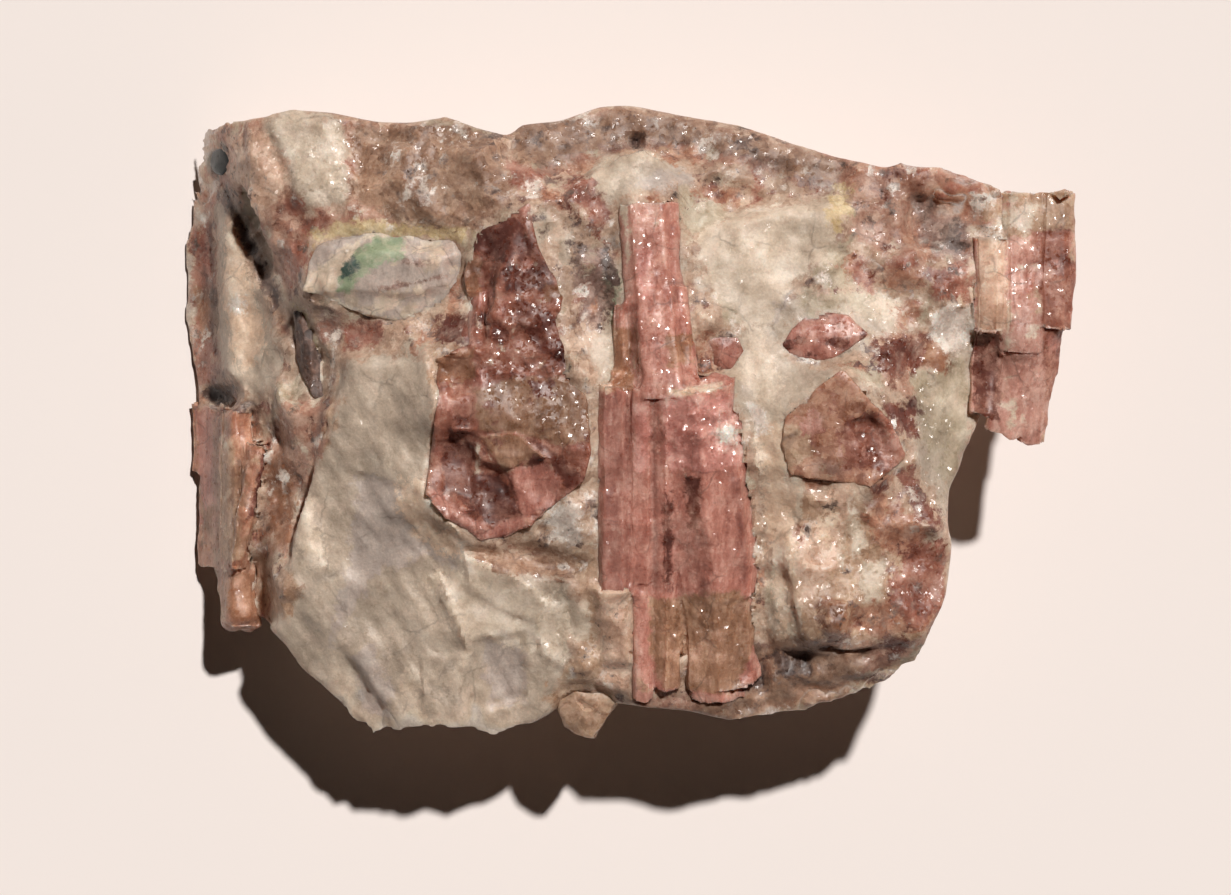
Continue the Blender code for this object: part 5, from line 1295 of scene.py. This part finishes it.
    "edge_crystals": {
        "piece": "edgeCrystals", "slot": "brown_tourmaline", "base": "salmon", "faceSize": 0.18,
        "ridges": 0.06, "chips": 0.16, "fill": 0.9, "rounds": 14, "gain": 1.08, "bend": 0.25, "ends": 0.5,
        "scatter": {"paleStone": (1.5, 0.3, 111), "cream": (1.0, 0.6, 112), "tan": (1.3, 0.45, 113)},
        "minerals": {
            "rose": (
                ((-29.2, 1.2), (-28, 1.2), (-27.8, -6.5), (-29, -7)),
            ),
            "tan": (
                ((-27.5, -1.1), (-26.3, -1.1), (-25.6, -9.2), (-27.4, -9.3)),
            ),
            "wine": (
                ((-24, -1.1), (-23.2, -1.5), (-24.7, -6.5), (-25.4, -6.5)),
            ),
            "orange": (
                ((-24, -2.1), (-21.8, -2.5), (-22.3, -9.2), (-23.8, -8.9)),
                ((-27.4, -10.1), (-23.9, -10.2), (-24, -13.8), (-27, -12.9)),
            ),
        },
    },
    "tip_crystal": {
        "piece": "tipCrystal", "slot": "brown_tourmaline", "base": "tan", "faceSize": 0.15, "chips": 0.3,
        "minerals": {},
    },
    "lens_grain": {
        "piece": "lensGrain", "slot": "stained_feldspar", "base": "lavender", "faceSize": 0.17,
        "chips": 0.14, "gain": 1.08,
        "scatter": {"cream": (1.6, 0.2, 101), "feldspar": (1.4, 0.3, 102)},
        "minerals": {
            "cream": (
                ((-21.5, 8.8), (-19.6, 11.2), (-17.5, 12.3), (-18, 10.7), (-19.2, 8.8), (-18.5, 7.6),
                 (-19.6, 7.2), (-21.4, 8.2)),
                ((-19.5, 8.2), (-17.5, 7.4), (-14.8, 6.8), (-12.2, 7.3), (-10.4, 8.4), (-10.8, 6.7),
                 (-14.8, 6), (-18.5, 6.6)),
                ((-17.5, 13), (-14.8, 13.1), (-10.7, 13.1), (-10.4, 12.3), (-14.8, 12.4), (-17.4, 12.2)),
            ),
            "mint": (
                ((-19, 8.8), (-18.5, 10.3), (-17.5, 11.5), (-16.3, 12.4), (-14.8, 12.4), (-14.6, 11.1),
                 (-15.8, 10.7), (-17.2, 10), (-18.2, 8.7)),
            ),
            "teal": (
                ((-18.7, 10.7), (-18, 11), (-17.5, 10.3), (-18.2, 9.5), (-18.6, 9.8)),
            ),
            "mauve": (
                ((-16.4, 8.8), (-14.8, 9.3), (-11.6, 9.8), (-11.6, 9.7), (-14.7, 9), (-16.3, 8.7)),
                ((-14.6, 10.7), (-13.5, 11), (-12.4, 10.7), (-13.5, 10.4)),
            ),
        },
    },
    "mica_blades": {
        "piece": "micaBlades", "slot": "dark_mica", "base": "dark", "faceSize": 0.13, "ridges": 0.1,
        "chips": 0.1, "fill": 0.3, "veil": 0.2,
        "minerals": {},
    },
    "glassy_grain": {
        "piece": "glassyGrain", "slot": "dark_glass_grain", "base": "glass", "faceSize": 0.1,
        "chips": 0.3, "veil": 0.0, "flecks": 0.1, "gain": 0.9, "softness": 0.0, "polish": 0.14,
        "shine": 0.1, "bump": 0.03,
        "minerals": {},
    },
}


def closedTop(piece, rounds):  # the heights of the piece's top with its narrow valleys filled, and as it is
    points = pointsOf(piece)
    top = castHeights(treeOf(piece), points.min(axis=0), points.max(axis=0))
    known = np.isfinite(top)
    filled = -grown(-grown(np.where(known, top, farDown), valleyCells), valleyCells)
    filled = fillBetween(np.where(known, filled, 0.0), known, 4)
    for _ in range(rounds):
        filled = 0.5 * filled + 0.125 * sum(neighbours(filled))
    return filled, fillBetween(np.nan_to_num(top), known, 4)


def liftTop(piece, nodeName, facts):  # fill the valleys between prisms, lift the edges, lay the ledges
    points = pointsOf(piece)
    flat = points[:, :2]
    filled, top = closedTop(piece, facts.get("rounds", 6))
    atTop = 1.0 - smoothStep(sample(top, flat) - points[:, 2], 0.1, 0.8)
    lift = facts.get("fill", 0.0) * (sample(filled, flat) - sample(top, flat))
    if nodeName in standing["flush"]:
        lift = np.maximum(lift, sample(edgeLift, flat))
    for height, soft, outline in facts.get("relief", ()):
        lift += height * shareInside(flat, outline, soft)
    points[:, 2] += lift * atTop
    setPoints(piece, points)
    return points


def roughenCrystal(piece, points, facts):
    normals = normalsOf(piece)
    if "bend" in facts:  # no prism is quite straight, and each one ends in a broken face
        for axis in (0, 2):
            points[:, axis] += facts["bend"] * softNoise(points, 3.5, 50 + axis)
        broken = facts["ends"] * chipNoise(points, 1.1, 53, 0.9, 0.9)
        points[:, 1] -= np.sign(normals[:, 1]) * broken * smoothStep(np.abs(normals[:, 1]), 0.4, 0.8)
    push = np.zeros(len(points))
    if "ridges" in facts:
        across = points * np.array((1.0, 0.06, 1.0))
        for size in (0.9, 0.4):
            ridge = chipNoise(across, size, 90)
            push += facts["ridges"] * 2.0 * (ridge - ridge.mean()) * (0.9 / size) ** 0.5
    for size, share in ((2.4, 1.0), (1.0, 0.8)):
        chip = chipNoise(points, size, 60, 0.8, 0.7)
        push += facts["chips"] * share * (chip - chip.mean())
    for level, outline in facts.get("zones", ()):  # where it sparkles it is broken into grains
        grains = chipNoise(points, 0.6, 70, 0.9, 0.9) - 0.2
        push += 0.3 * level * grains * shareInside(points[:, :2], outline, 0.3)
    points += normals * push[:, None]
    setPoints(piece, points)


def makeCrystal(nodeName, facts):
    piece = copyOfNode(nodeName, facts["piece"])
    evenFaces(piece, facts["faceSize"])
    roughenCrystal(piece, liftTop(piece, nodeName, facts), facts)
    finishPiece(piece, nodeName, facts, paintFields(piece, facts))


makeStudio()
makeRock()
for nodeName, facts in crystals.items():
    makeCrystal(nodeName, facts)
